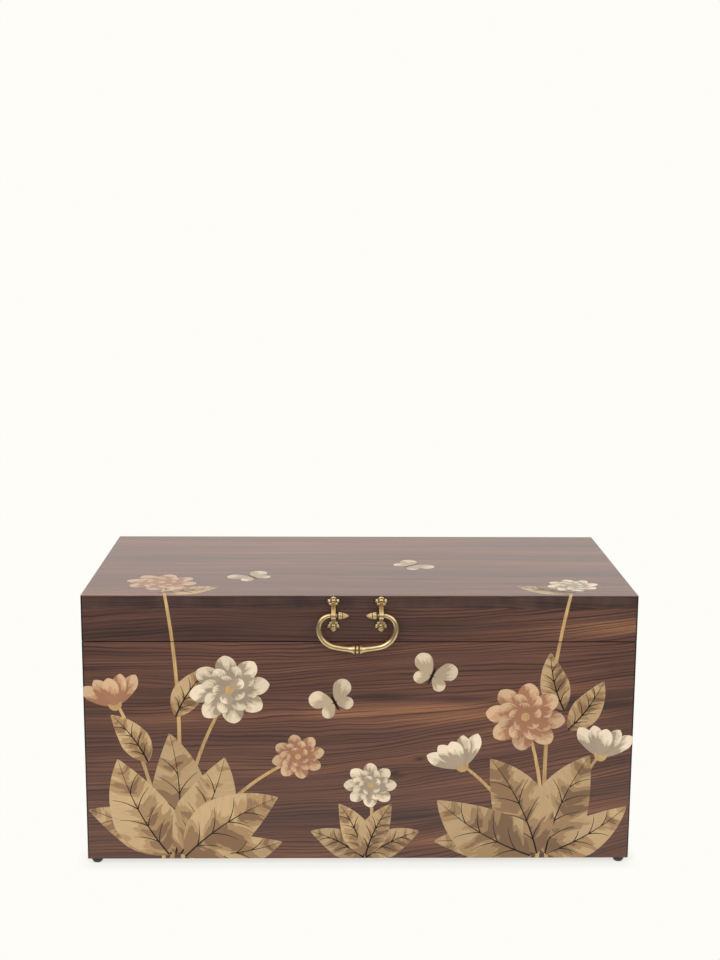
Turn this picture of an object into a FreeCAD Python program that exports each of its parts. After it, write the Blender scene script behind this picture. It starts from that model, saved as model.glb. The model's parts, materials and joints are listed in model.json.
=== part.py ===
import FreeCAD, Part
import math
import os

# A lidded wooden trunk with a drop handle, in millimetres.
# The width runs along X, the front faces -Y, and Z is up from the floor.
# The origin is on the floor, in the middle of everything that the trunk reaches.
V = FreeCAD.Vector

# Overall sizes
trunk_width = 900.0
trunk_depth = 436.0
body_height = 451.0
lid_height = 77.0
seam_gap = 1.6
foot_height = 10.0

# Boards and joinery
wall = 18.0
veneer = 1.0
lid_board = 20.0
bottom_board = 10.0
bottom_recess = 14.0
groove_depth = 7.0
corner_round = 2.0
edge_round = 1.0
fit_gap = 0.2
running_gap = 0.3
overrun = 5.0
spline_thickness = 4.0
spline_width = 12.0
spline_stop = 32.0
spline_inset = 11.0
corner_block_leg = 34.0
bumper_radius = 4.0
bumper_corner_inset = 60.0

# Feet: turned glides, each with one nail
foot_radius = 9.5
foot_tread_radius = 7.0
foot_bevel = 4.0
foot_inset = 14.0
foot_recess_radius = 4.0
foot_recess_depth = 3.0
nail_radius = 1.5
nail_head_radius = 3.5
nail_head = 1.0
nail_length = 20.0

# Butt hinges at the back of the seam
hinge_spacing = 560.0
hinge_width = 64.0
hinge_leaf_depth = 14.0
hinge_leaf = 1.9
barrel_radius = 4.5
barrel_off_wall = 0.2
hinge_pin_radius = 2.0
hinge_pin_head = 1.5
knuckles = 5
knuckle_gap = 0.3
hinge_screw_spacing = 22.0
hinge_screw_from_back = 8.0

# Wood screws for the hinges and the stay plates
screw_radius = 1.6
screw_head_radius = 3.2
screw_head = 1.6
hinge_screw_length = 16.0
plate_screw_length = 12.0

# Sliding lid stays: a slotted arm pivots on the lid and slides on a stud in the box.
# Both pivots are one radius from the hinge, so the arm turns half as far as the lid.
lid_opening = 95.0
stay_radius = 130.0
stay_lid_rise = 26.0
stay_box_angle = 40.0
stay_arm = 2.0
stay_arm_width = 13.0
stay_stud_radius = 3.0
stay_stud_head_radius = 5.5
stay_stud_head = 1.6
stay_plate = 2.0
stay_plate_length = 34.0
stay_plate_width = 15.0
stay_plate_screw_spacing = 24.0
stay_slip = 0.1

# Drop handle on the lid
handle_off_centre = -5.0
handle_pivot_below_top = 29.4
handle_standoff = 14.0
bail_half_width = 62.5
bail_upper_radius = 20.2
bail_lower_radius = 33.0
bail_drop = 56.3
bail_wire_radius = 4.5
bail_neck_radius = 3.4
bail_sections = 25
collar_radius = 7.7
collar_groove_radius = 4.9
collar_disc_radius = 7.0
collar_disc = 4.0
collar_groove = 2.3
collar_flare = 9.5
spigot_radius = 2.0
spigot_length = 7.0
finial_length = 18.3
finial_radius = 5.8
finial_neck = 3.0
finial_neck_radius = 2.9
finial_flutes = 6
finial_flute = 1.5
finial_point_radius = 0.35
finial_shoulder_share = 0.9
finial_waist_share = 0.6
bracket_width = 7.0
bracket_strap = 3.0
bracket_plate = 2.6
bracket_boss_rise = 21.2
bracket_boss_fall = 20.6
bracket_foot_rise = 13.0
bracket_foot_fall = 10.5
upper_shield_length = 7.8
lower_shield_length = 10.0
shield_neck_length = 8.4
shield_half_width = 9.4
shield_bevel = 0.7
shield_tip_shares = ((0, 1.0), (0.16, 0.80), (0.40, 0.58))
shield_lobe_shares = ((0.46, 0.36), (0.72, 0.40), (0.94, 0.22), (1.0, -0.06), (0.88, -0.32), (0.62, -0.42),
                      (0.50, -0.66), (0.40, -1.0))
handle_screw_dome = 4.2
handle_screw_rise = 2.8
handle_screw_curve_shares = (0.70, 0.71)
handle_screw_slot = 0.9
handle_screw_slot_depth = 1.0
handle_screw_radius = 1.7
handle_screw_length = 16.0

# Inlaid flowers: veneer pieces let flush into the face veneers
stem_root_width = 7.0
stem_end_width = 4.8
tall_leaf_length = 212.0
tall_leaf_width = 100.0
broad_leaf_length = 186.0
broad_leaf_width = 98.0
long_leaf_length = 158.0
long_leaf_width = 66.0
small_leaf_length = 102.0
small_leaf_width = 48.0
leaf_bow_share = 0.055
leaf_side_shares = ((0.20, 0.78), (0.45, 1.0), (0.76, 0.60))
rib_width = 3.0
rib_point = 0.5
vein_width = 1.9
vein_point = 0.6
vein_start_shares = (0.14, 0.32, 0.50, 0.66)
vein_reach_shares = (0.62, 0.72, 0.66, 0.50)
vein_run_share = 0.16
vein_bow_ratio = -60.0
large_flower_radius = 66.0
middle_flower_radius = 60.0
small_flower_radius = 44.0
petal_foot_share = 0.06
petal_side_shares = ((0.72, 0.36), (1.0, 0.64), (0.66, 0.90))
ring_shares = ((8, 1.0, 0.0), (8, 0.70, 0.5), (5, 0.42, 0.2))
petal_overlap_share = 1.35
flower_eye_share = 0.11
flower_tilt_share = 0.88
bell_length = 66.0
bell_spreads = (44.0, 22.0)
bell_petal_width_share = 0.36
bell_step_share = 0.10
bell_middle_shares = (0.80, 0.40)
bell_cup_shares = (0.15, 0.16, -0.06, 0.09)
wing_span = 84.0
lower_wing_shares = (0.36, 0.26)
upper_wing_shares = (0.52, 0.36)
wing_turns = (118.0, 52.0)
butterfly_body_shares = (0.20, 0.028)
butterfly_waist_share = 0.78
smallest_piece_width = 0.7

# Where they stand: a share of the trunk's width, and a share up the box's front or, from 1 on,
# back over the top. A stem has its root, its end and how far it bows sideways, as a share of its length.
stem_place_shares = (
    ((-0.345, 0.0), (-0.365, 1.166), 0.045),
    ((-0.325, 0.0), (-0.240, 0.75), -0.07),
    ((-0.360, 0.0), (-0.440, 0.725), 0.05),
    ((-0.312, 0.0), (-0.122, 0.46), -0.09),
    ((0.330, 0.0), (0.305, 0.62), 0.06),
    ((0.348, 0.0), (0.392, 1.124), -0.045),
    ((0.316, 0.0), (0.190, 0.435), 0.08),
    ((0.362, 0.0), (0.440, 0.485), -0.06),
    ((0.010, 0.0), (0.020, 0.30), 0.06),
)
# A leaf has its foot, its turn from upright, its kind and the side to which it bows.
leaf_place_shares = (
    ((-0.338, 0.02), 2, "tall_leaf", 1),
    ((-0.345, 0.02), 60, "long_leaf", 1),
    ((-0.315, 0.02), -82, "long_leaf", 1),
    ((-0.350, 0.02), 26, "broad_leaf", -1),
    ((-0.330, 0.02), -24, "broad_leaf", 1),
    ((-0.320, 0.01), -56, "broad_leaf", -1),
    ((-0.385, 0.45), 36, "small_leaf", 1),
    ((-0.334, 0.66), -34, "small_leaf", -1),
    ((0.345, 0.02), -58, "long_leaf", 1),
    ((0.312, 0.02), 82, "long_leaf", 1),
    ((0.345, 0.02), -22, "broad_leaf", -1),
    ((0.330, 0.02), 26, "broad_leaf", 1),
    ((0.318, 0.01), 58, "broad_leaf", -1),
    ((0.380, 0.60), -34, "small_leaf", 1),
    ((0.372, 0.69), 14, "small_leaf", -1),
    ((0.010, 0.00), 62, "small_leaf", 1),
    ((0.012, 0.00), -62, "small_leaf", -1),
    ((0.010, 0.01), 25, "small_leaf", 1),
    ((0.012, 0.01), -25, "small_leaf", -1),
    ((-0.362, 1.045), -68, "small_leaf", 1),
    ((0.390, 1.045), 64, "small_leaf", -1),
)
# A flower has its kind, its wood, its turn and its place.
flower_place_shares = (
    ("large", "cream", 8, (-0.236, 0.785)),
    ("middle", "peach", -10, (-0.366, 1.197)),
    ("small", "peach", 12, (-0.112, 0.477)),
    ("bell", "peach", 14, (-0.441, 0.70)),
    ("large", "peach", -6, (0.302, 0.66)),
    ("small", "cream", 10, (0.393, 1.155)),
    ("bell", "cream", 24, (0.191, 0.417)),
    ("bell", "cream", -10, (0.441, 0.465)),
    ("small", "cream", 0, (0.020, 0.344)),
    ("wings", "wing", 28, (-0.045, 0.725)),
    ("wings", "wing", -24, (0.130, 0.846)),
    ("wings", "wing", -50, (0.10, 1.465)),
    ("wings", "wing", 35, (-0.20, 1.279)),
)

# Levels and planes worked out from the sizes
pivot_reach = handle_standoff + collar_radius
hinge_axis_out = barrel_off_wall + barrel_radius
hinge_reach = hinge_axis_out + barrel_radius
centre_y = (pivot_reach - hinge_reach) / 2
y_front = centre_y - trunk_depth / 2
y_back = centre_y + trunk_depth / 2
y_core = y_front + veneer
half_width = trunk_width / 2
box_bottom = foot_height
lid_top = foot_height + body_height
seam = lid_top - lid_height
rim = seam - seam_gap / 2
lid_rim = seam + seam_gap / 2
board_under = lid_top - veneer - lid_board
floor_board_z = box_bottom + bottom_recess
hinge_y = y_back + hinge_axis_out
inner_x = half_width - wall
handle_z = lid_top - handle_pivot_below_top
handle_y = y_front - handle_standoff
neck_end = bail_half_width - bail_upper_radius
bracket_offset = neck_end - running_gap - bracket_width / 2


def block(x0, x1, y0, y1, z0, z1):
    """A box between two corners."""
    return Part.makeBox(x1 - x0, y1 - y0, z1 - z0, V(x0, y0, z0))


def prism(corners, z0, z1):
    """A polygon in plan, drawn up from z0 to z1."""
    points = [V(x, y, z0) for x, y in corners]
    return Part.Face(Part.makePolygon(points + points[:1])).extrude(V(0, 0, z1 - z0))


def turned(profile, foot, axis):
    """A solid turned about an axis. The profile lists (distance along the axis, radius);
    an entry with two pairs is an arc through the first to the second."""
    edges, last = [], V(profile[0][1], 0, profile[0][0])
    for entry in profile[1:]:
        if isinstance(entry[0], tuple):
            middle, end = (V(r, 0, a) for a, r in entry)
            edges.append(Part.Arc(last, middle, end).toShape())
        else:
            end = V(entry[1], 0, entry[0])
            edges.append(Part.makeLine(last, end))
        last = end
    first = V(profile[0][1], 0, profile[0][0])
    if (last - first).Length > 0:
        edges.append(Part.makeLine(last, first))
    solid = Part.Face(Part.Wire(edges)).revolve(V(0, 0, 0), V(0, 0, 1), 360)
    solid.Placement = FreeCAD.Placement(foot, FreeCAD.Rotation(V(0, 0, 1), axis))
    return solid


def rod(foot, axis, length, radius):
    return Part.makeCylinder(radius, length, foot, axis)


def rounded_block(z0, z1, round_top):
    """The trunk's plan between two heights, with its upright corners rounded and, for the lid, its top edges."""
    whole = block(-half_width, half_width, y_front, y_back, z0, z1)
    uprights = [e for e in whole.Edges if e.BoundBox.ZLength > corner_round]
    whole = whole.makeFillet(corner_round, uprights)
    if round_top:
        rim_edges = [e for e in whole.Edges if e.BoundBox.ZMin > z1 - corner_round / 2]
        whole = whole.makeFillet(edge_round, rim_edges)
    return whole


def within(solid, envelope):
    """The solid cut back to the envelope, where it comes near the envelope's rounded edges."""
    box, bounds = solid.BoundBox, envelope.BoundBox
    clear = bounds.XMin + corner_round < box.XMin and box.XMax < bounds.XMax - corner_round
    clear = clear and bounds.YMax - corner_round > box.YMax
    clear = clear and (box.ZMax < bounds.ZMax - edge_round or bounds.YMin + edge_round < box.YMin)
    return [solid] if clear else solid.common(envelope).Solids


def keep_largest(shape):
    return max(shape.Solids, key=lambda s: s.Volume)


def mirrored(solid):
    return solid.mirror(V(0, 0, 0), V(1, 0, 0))


def export(name, solids):
    shape = solids[0] if len(solids) == 1 else Part.makeCompound(solids)
    shape.exportStep(os.path.join("parts", name + ".step"))


# Walls of the box and rails of the lid

def mitred_walls(z0, z1):
    """Four walls with mitred corners round the trunk's plan, behind the front veneer."""
    x0, x1, y0, y1 = -half_width, half_width, y_core, y_back
    inner = (x0 + wall, x1 - wall, y0 + wall, y1 - wall)
    return {
        "front": prism([(x0, y0), (x1, y0), (inner[1], inner[2]), (inner[0], inner[2])], z0, z1),
        "back": prism([(x0, y1), (x1, y1), (inner[1], inner[3]), (inner[0], inner[3])], z0, z1),
        "left": prism([(x0, y0), (x0, y1), (inner[0], inner[3]), (inner[0], inner[2])], z0, z1),
        "right": prism([(x1, y0), (x1, y1), (inner[1], inner[3]), (inner[1], inner[2])], z0, z1),
    }


def corner_splines(z0, z1, gap):
    """Loose tongues across the four mitres, stopped short of both ends."""
    tongues = []
    for sx in (-1, 1):
        for sy, y_outer in ((-1, y_core), (1, y_back)):
            tongue = block(-spline_width / 2 - gap, spline_width / 2 + gap,
                           -spline_thickness / 2 - gap, spline_thickness / 2 + gap,
                           z0 - gap, z1 + gap)
            tongue.rotate(V(0, 0, 0), V(0, 0, 1), -45 * sx * sy)
            tongue.translate(V(sx * (half_width - spline_inset), y_outer - sy * spline_inset, 0))
            tongues.append(tongue)
    return tongues


def foot_centres():
    return [(name, sx * (half_width - foot_inset), y)
            for end, y in (("front", y_front + foot_inset), ("back", y_back - foot_inset))
            for name, sx in ((end + "_left_foot", -1), (end + "_right_foot", 1))]


def foot_nail(x, y, gap):
    """A nail with its head in the foot's recess and its shank up into the walls."""
    head = rod(V(x, y, foot_recess_depth - nail_head), V(0, 0, 1), nail_head, nail_head_radius)
    shank = rod(V(x, y, foot_recess_depth), V(0, 0, 1), nail_length, nail_radius + gap)
    return head.fuse(shank)


def foot(x, y):
    profile = [(0, 0), (0, foot_tread_radius), (foot_bevel, foot_radius), (foot_height, foot_radius),
               (foot_height, 0)]
    recess = rod(V(x, y, -overrun), V(0, 0, 1), overrun + foot_recess_depth, foot_recess_radius)
    bore = rod(V(x, y, 0), V(0, 0, 1), foot_height + overrun, nail_radius + fit_gap / 2)
    return turned(profile, V(x, y, 0), V(0, 0, 1)).cut([recess, bore])


def floor_board(gap):
    inset = wall - groove_depth
    return block(-half_width + inset + fit_gap - gap, half_width - inset - fit_gap + gap,
                 y_core + inset + fit_gap - gap, y_back - inset - fit_gap + gap,
                 floor_board_z, floor_board_z + bottom_board + gap)


def corner_blocks():
    """Glue blocks in the corners under the floor board."""
    blocks = []
    for sx in (-1, 1):
        for sy, y in ((1, y_core + wall), (-1, y_back - wall)):
            x = sx * inner_x
            corners = [(x, y), (x - sx * corner_block_leg, y), (x, y + sy * corner_block_leg)]
            blocks.append(prism(corners, box_bottom + veneer, floor_board_z))
    return blocks


def rim_bumpers():
    x = half_width - bumper_corner_inset
    height = seam_gap - running_gap
    return [rod(V(sx * x, y_core + wall / 2, rim), V(0, 0, 1), height, bumper_radius) for sx in (-1, 1)]


# Hinges

def hinge_centres():
    return [("left", -hinge_spacing / 2), ("right", hinge_spacing / 2)]


def screw_offsets():
    return [step * hinge_screw_spacing for step in (-1, 0, 1)]


def wood_screw(foot_point, axis, length, gap):
    """A countersunk screw whose head is flush with foot_point; axis is the way it goes in."""
    profile = [(0, 0), (0, screw_head_radius + gap), (screw_head, screw_radius + gap),
               (length - screw_head, screw_radius + gap), (length, 0)]
    return turned(profile, foot_point, axis)


def hinge_screws(x, side, gap):
    """Screws through one leaf. Side is -1 for the box's leaf and 1 for the lid's."""
    face_z = seam + side * (fit_gap / 2)
    return [wood_screw(V(x + dx, y_back - hinge_screw_from_back, face_z), V(0, 0, side),
                       hinge_screw_length, gap) for dx in screw_offsets()]


def hinge_leaf_solid(x, side):
    """A leaf with its knuckles. The box's leaf has the outer ones."""
    x0 = x - hinge_width / 2
    pitch = hinge_width / knuckles
    z_near, z_far = sorted((seam + side * fit_gap / 2, seam + side * (fit_gap / 2 + hinge_leaf)))
    leaf = block(x0, x0 + hinge_width, y_back - hinge_leaf_depth, y_back, z_near, z_far)
    for k in range(0 if side < 0 else 1, knuckles, 2):
        a = x0 + k * pitch + knuckle_gap / 2
        b = a + pitch - knuckle_gap
        leaf = leaf.fuse([block(a, b, y_back - fit_gap, hinge_y, z_near, z_far),
                          rod(V(a, hinge_y, seam), V(1, 0, 0), b - a, barrel_radius)])
    bore = rod(V(x0 - overrun, hinge_y, seam), V(1, 0, 0), hinge_width + 2 * overrun,
               hinge_pin_radius + fit_gap / 4)
    return leaf.removeSplitter().cut([bore] + hinge_screws(x, side, 0))


def hinge_mortise(x, side):
    z0, z1 = sorted((seam, seam + side * (fit_gap / 2 + hinge_leaf)))
    return block(x - hinge_width / 2 - fit_gap, x + hinge_width / 2 + fit_gap,
                 y_back - hinge_leaf_depth - fit_gap, y_back + overrun, z0, z1)


def hinge_pin(x):
    """A pin with a button at each end of the barrel."""
    x0 = x - hinge_width / 2
    shaft = rod(V(x0 - fit_gap, hinge_y, seam), V(1, 0, 0), hinge_width + 2 * fit_gap, hinge_pin_radius)
    ends = [rod(V(a, hinge_y, seam), V(1, 0, 0), hinge_pin_head, hinge_pin_radius + hinge_pin_head)
            for a in (x0 - hinge_pin_head - fit_gap, x0 + hinge_width + fit_gap)]
    return shaft.fuse(ends).removeSplitter()


# Lid stays

def stay_points():
    """The pivots on the lid and in the box, as (y, z)."""
    reach = math.sqrt(stay_radius ** 2 - stay_lid_rise ** 2)
    angle = math.radians(stay_box_angle)
    on_lid = (hinge_y - reach, seam + stay_lid_rise)
    in_box = (hinge_y - stay_radius * math.cos(angle), seam - stay_radius * math.sin(angle))
    return on_lid, in_box


def stay_travel():
    """Distances between the two pivots with the lid shut and open."""
    shut = math.asin(stay_lid_rise / stay_radius) + math.radians(stay_box_angle)
    spans = [2 * stay_radius * math.sin(a / 2) for a in (shut, shut + math.radians(lid_opening))]
    return spans[0], spans[1]


def capsule(y0, y1, radius, x0, x1):
    """A slot shape along Y, drawn through from x0 to x1."""
    ends = [rod(V(x0, y, 0), V(1, 0, 0), x1 - x0, radius) for y in (y0, y1)]
    return ends[0].fuse([ends[1], block(x0, x1, y0, y1, -radius, radius)]).removeSplitter()


def stay_arm_solid():
    """The slotted arm of the right-hand stay, with the lid shut."""
    x1 = inner_x - stay_plate - running_gap
    x0 = x1 - stay_arm
    near, far = stay_travel()
    bare = capsule(0, far, stay_arm_width / 2, x0, x1)
    hole = rod(V(x0 - overrun, 0, 0), V(1, 0, 0), stay_arm + 2 * overrun, stay_stud_radius + stay_slip)
    slot = capsule(near - running_gap, far + running_gap, stay_stud_radius + stay_slip,
                   x0 - overrun, x1 + overrun)
    arm = bare.cut([hole, slot])
    on_lid, in_box = stay_points()
    lean = math.degrees(math.atan2(in_box[1] - on_lid[1], in_box[0] - on_lid[0]))
    arm.rotate(V(0, 0, 0), V(1, 0, 0), lean)
    arm.translate(V(0, on_lid[0], on_lid[1]))
    return arm


def plate_screw_points(point):
    return [(point[0] + step * stay_plate_screw_spacing / 2, point[1]) for step in (-1, 1)]


def stay_stud(point):
    """A plate on the right-hand inner wall with a headed stud for the arm."""
    y, z = point
    face = inner_x - stay_plate
    reach = stay_arm + 2 * running_gap
    plate = block(face, inner_x, y - stay_plate_length / 2, y + stay_plate_length / 2,
                  z - stay_plate_width / 2, z + stay_plate_width / 2)
    stud = rod(V(face - reach, y, z), V(1, 0, 0), reach, stay_stud_radius)
    head = rod(V(face - reach - stay_stud_head, y, z), V(1, 0, 0), stay_stud_head, stay_stud_head_radius)
    return plate.fuse([stud, head]).removeSplitter().cut(stay_screws(point, 0))


def stay_screws(point, gap):
    return [wood_screw(V(inner_x - stay_plate, y, z), V(1, 0, 0), plate_screw_length, gap)
            for y, z in plate_screw_points(point)]


# Drop handle

def bail_path(turn):
    """A point, its direction and the wire's radius on the right half of the bail, as (x, drop) pairs.
    Turn runs from 0 at the neck to 1 at the middle of the grip. The wire swells along the upper bend."""
    side_x = bail_half_width
    level = -bail_upper_radius
    rise = bail_drop - bail_upper_radius
    dx = side_x - bail_lower_radius
    base_radius = (dx ** 2 + rise ** 2 - bail_lower_radius ** 2) / (2 * (rise - bail_lower_radius))
    joint = math.atan2(dx, base_radius - rise)
    arcs = [(bail_upper_radius, math.pi / 2), (bail_lower_radius, math.pi / 2 - joint),
            (base_radius, joint)]
    lengths = [radius * sweep for radius, sweep in arcs]
    along = turn * sum(lengths)
    if along <= lengths[0]:
        a = math.pi / 2 - along / bail_upper_radius
        centre = (neck_end, level)
        radius = bail_upper_radius
    elif along <= lengths[0] + lengths[1]:
        a = -(along - lengths[0]) / bail_lower_radius
        centre = (side_x - bail_lower_radius, level)
        radius = bail_lower_radius
    else:
        a = -math.pi / 2 + (sum(lengths) - along) / base_radius
        centre = (0, base_radius - bail_drop)
        radius = base_radius
    point = (centre[0] + radius * math.cos(a), centre[1] + radius * math.sin(a))
    swell = math.sin(min(1, along / lengths[0]) * math.pi / 2) ** 2
    wire = bail_neck_radius + (bail_wire_radius - bail_neck_radius) * swell
    return point, (math.sin(a), -math.cos(a)), wire


def bail_half():
    """The right half of the bail, from its neck in the bracket to the middle of the grip."""
    rings = []
    for k in range(bail_sections):
        (x, z), (tx, tz), radius = bail_path(k / (bail_sections - 1))
        rings.append(Part.Wire([Part.makeCircle(radius, V(x, 0, z), V(tx, 0, tz))]))
    bow = Part.makeLoft(rings, True, False)
    inner = bracket_offset - bracket_width / 2 - running_gap
    neck = rod(V(inner, 0, 0), V(1, 0, 0), neck_end - inner, bail_neck_radius)
    spigot = rod(V(inner - spigot_length, 0, 0), V(1, 0, 0), spigot_length, spigot_radius)
    return bow.fuse([neck, spigot])


def bail_collar():
    """Two flared ends facing a thin disc, at the middle of the grip."""
    a, b = collar_disc / 2, collar_disc / 2 + collar_groove
    c = b + collar_flare
    half = [(0, collar_disc_radius), (a, collar_disc_radius), (a, collar_groove_radius),
            (b, collar_groove_radius), (b, collar_radius),
            ((b + collar_flare / 3, (collar_radius + bail_wire_radius) / 2), (c, bail_wire_radius)), (c, 0)]
    profile = [(0, 0)] + half
    right = turned(profile, V(0, 0, -bail_drop), V(1, 0, 0))
    return right.fuse(mirrored(right))


def bail():
    right = bail_half()
    whole = right.fuse([mirrored(right), bail_collar()]).removeSplitter()
    whole.translate(V(handle_off_centre, handle_y, handle_z))
    return whole


def finial():
    """A pointed bud on the right-hand end of the bail, fluted, with a socket for the spigot."""
    start = bracket_offset - bracket_width / 2 - running_gap
    cup = finial_length / 3
    n = finial_neck
    profile = [(0, 0), (0, finial_neck_radius), (n, finial_neck_radius),
               ((n + cup / 3, finial_radius * finial_shoulder_share), (n + cup, finial_radius)),
               ((n + 2 * cup, finial_radius * finial_waist_share), (n + finial_length, finial_point_radius)),
               (n + finial_length, 0)]
    bud = turned(profile, V(start, 0, 0), V(-1, 0, 0))
    for k in range(finial_flutes):
        flute = rod(V(start - n - cup / 2, 0, finial_radius + finial_flute / 2), V(-1, 0, 0),
                    finial_length, finial_flute)
        flute.rotate(V(0, 0, 0), V(1, 0, 0), 360 * (k + 0.5) / finial_flutes)
        bud = bud.cut(flute)
    socket = rod(V(start + overrun, 0, 0), V(-1, 0, 0), overrun + spigot_length + fit_gap,
                 spigot_radius + fit_gap / 4)
    return keep_largest(bud.cut(socket))


def placed_on_handle(solid, side):
    """The right-hand piece, or its mirror image, moved to the handle."""
    piece = solid.copy() if side > 0 else mirrored(solid)
    piece.translate(V(handle_off_centre, handle_y, handle_z))
    return piece


def bracket_shield(direction, tip_length, stem_length):
    """A pointed shield with two side lobes, flat on the lid. Direction is 1 for up and -1 for down."""
    half_points = [(x * shield_half_width, z * tip_length) for x, z in shield_tip_shares]
    half_points += [(x * shield_half_width, z * shield_neck_length) for x, z in shield_lobe_shares]
    half_points.append((bracket_width / 2, -stem_length))
    points = [V(x, 0, z * direction) for x, z in half_points]
    points += [V(-p.x, 0, p.z) for p in reversed(points[1:])]
    flat = Part.Face(Part.makePolygon(points + points[:1]))
    plate = flat.extrude(V(0, -bracket_plate, 0))
    front = [e for e in plate.Edges if e.BoundBox.YMax < -bracket_plate + shield_bevel / 2]
    return plate.makeChamfer(shield_bevel, front)


def bracket_strap_solid():
    """The bridge that the bail's neck turns in, round the pivot and back to the lid."""
    def rib(radius, rise, fall, wide):
        nose = rod(V(-wide / 2, -handle_standoff, 0), V(1, 0, 0), wide, radius)
        p = math.atan2(handle_standoff, rise)
        q = math.atan2(handle_standoff, fall)
        corners = [V(-wide / 2, 0, rise), V(-wide / 2, 0, -fall),
                   V(-wide / 2, -handle_standoff - radius * math.cos(q), -radius * math.sin(q)),
                   V(-wide / 2, -handle_standoff, 0),
                   V(-wide / 2, -handle_standoff - radius * math.cos(p), radius * math.sin(p))]
        web = Part.Face(Part.makePolygon(corners + corners[:1])).extrude(V(wide, 0, 0))
        return nose.fuse(web).removeSplitter()
    hollow_radius = bail_neck_radius + fit_gap / 2
    outer = rib(hollow_radius + bracket_strap, bracket_foot_rise, bracket_foot_fall, bracket_width)
    inner = rib(hollow_radius, bracket_foot_rise - bracket_strap, bracket_foot_fall - bracket_strap,
                bracket_width + 2 * overrun)
    return outer.cut(inner)


def bracket_screw_heights():
    return (bracket_boss_rise, -bracket_boss_fall)


def bracket(side):
    top = bracket_shield(1, upper_shield_length, bracket_boss_rise - bracket_foot_rise + bracket_strap)
    top.translate(V(0, 0, bracket_boss_rise))
    low = bracket_shield(-1, lower_shield_length, bracket_boss_fall - bracket_foot_fall + bracket_strap)
    low.translate(V(0, 0, -bracket_boss_fall))
    whole = top.fuse([low, bracket_strap_solid()]).removeSplitter()
    holes = [rod(V(0, overrun, z), V(0, -1, 0), 2 * overrun + bracket_plate, handle_screw_radius + fit_gap / 2)
             for z in bracket_screw_heights()]
    whole = whole.cut(holes)
    whole.translate(V(handle_off_centre + side * bracket_offset, y_front, handle_z))
    return whole


def handle_screw(x, z):
    """A round-headed slotted screw through a bracket's leaf into the lid."""
    face = y_front - bracket_plate
    rise, radius = handle_screw_curve_shares
    dome = turned([(0, 0), (0, handle_screw_dome),
                   ((handle_screw_rise * rise, handle_screw_dome * radius), (handle_screw_rise, 0))],
                  V(x, face, z), V(0, -1, 0))
    slot = block(x - handle_screw_dome, x + handle_screw_dome,
                 face - handle_screw_rise - overrun, face - handle_screw_rise + handle_screw_slot_depth,
                 z - handle_screw_slot / 2, z + handle_screw_slot / 2)
    shank = rod(V(x, face, z), V(0, 1, 0), handle_screw_length, handle_screw_radius)
    return dome.fuse(shank).removeSplitter().cut(slot)


def handle_screw_points():
    return [(handle_off_centre + side * bracket_offset, handle_z + z)
            for side in (-1, 1) for z in bracket_screw_heights()]


# Inlay. Each motif is drawn flat, pointing up from its foot at the origin, as (wood, face) pieces
# from the lowest to the highest, and then laid on the unrolled front and top.

def flat_face(edges):
    return Part.Face(Part.Wire(edges))


def arc(a, middle, b):
    return Part.Arc(a, middle, b).toShape()


def placed(pieces, angle, at=(0, 0)):
    laid = []
    for wood, face in pieces:
        face = face.copy()
        face.rotate(V(0, 0, 0), V(0, 0, 1), angle)
        face.translate(V(at[0], at[1], 0))
        laid.append((wood, face))
    return laid


def without_covered(pieces):
    """The pieces, from the lowest to the highest, without what later ones hide."""
    seen = []
    for k, (wood, face) in enumerate(pieces):
        later = [other for _, other in pieces[k + 1:] if other.BoundBox.intersect(face.BoundBox)]
        seen += [(wood, part) for part in (face.cut(later) if later else face).Faces]
    return seen


def beside_rib(length, bow, along, across=0.0):
    """A point across from a leaf's rib, which bows sideways. Along is a share of the length."""
    slope = bow * math.pi * math.cos(math.pi * along) / length
    run = math.hypot(1, slope)
    return V(bow * math.sin(math.pi * along) + across / run, along * length - across * slope / run, 0)


def tapered(a, b, wide, point, bow):
    """A line of veneer from a to b, tapering to its point and bowed sideways."""
    along = b.sub(a)
    side = V(along.y, -along.x, 0).normalize()
    middle = (a + b) * 0.5 + side * bow
    half = (wide + point) / 4
    return flat_face([arc(a + side * wide / 2, middle + side * half, b + side * point / 2),
                      Part.makeLine(b + side * point / 2, b - side * point / 2),
                      arc(b - side * point / 2, middle - side * half, a - side * wide / 2),
                      Part.makeLine(a - side * wide / 2, a + side * wide / 2)])


def leaf(length, width, bends):
    """A pointed leaf in two halves, light and dark, with ebony rib and veins."""
    bow = bends * leaf_bow_share * length
    foot, tip = V(0, 0, 0), V(0, length, 0)
    middle = arc(foot, V(bow, length / 2, 0), tip)
    sides = []
    for side in (-1, 1):
        low, wide, high = (beside_rib(length, bow, a, side * b * width / 2) for a, b in leaf_side_shares)
        sides.append([arc(foot, low, wide), arc(wide, high, tip)])
    outline = flat_face(sides[0] + sides[1])
    rib = tapered(foot, V(0, length, 0), rib_width, rib_point, bow).common(outline)
    pieces = [("ebony", face) for face in rib.Faces]
    for side, edges, wood in zip((-1, 1), sides, ("light_leaf", "dark_leaf")):
        veins = []
        for start, reach in zip(vein_start_shares, vein_reach_shares):
            end = beside_rib(length, bow, start + vein_run_share, side * reach * width / 2)
            vein = tapered(beside_rib(length, bow, start), end, vein_width, vein_point,
                           side * length / vein_bow_ratio)
            veins += vein.common(outline).cut(rib).Faces[:1]
        half = flat_face([middle] + edges).cut([rib] + veins)
        pieces += [("ebony", vein) for vein in veins] + [(wood, face) for face in half.Faces]
    return [outline], pieces


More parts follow.
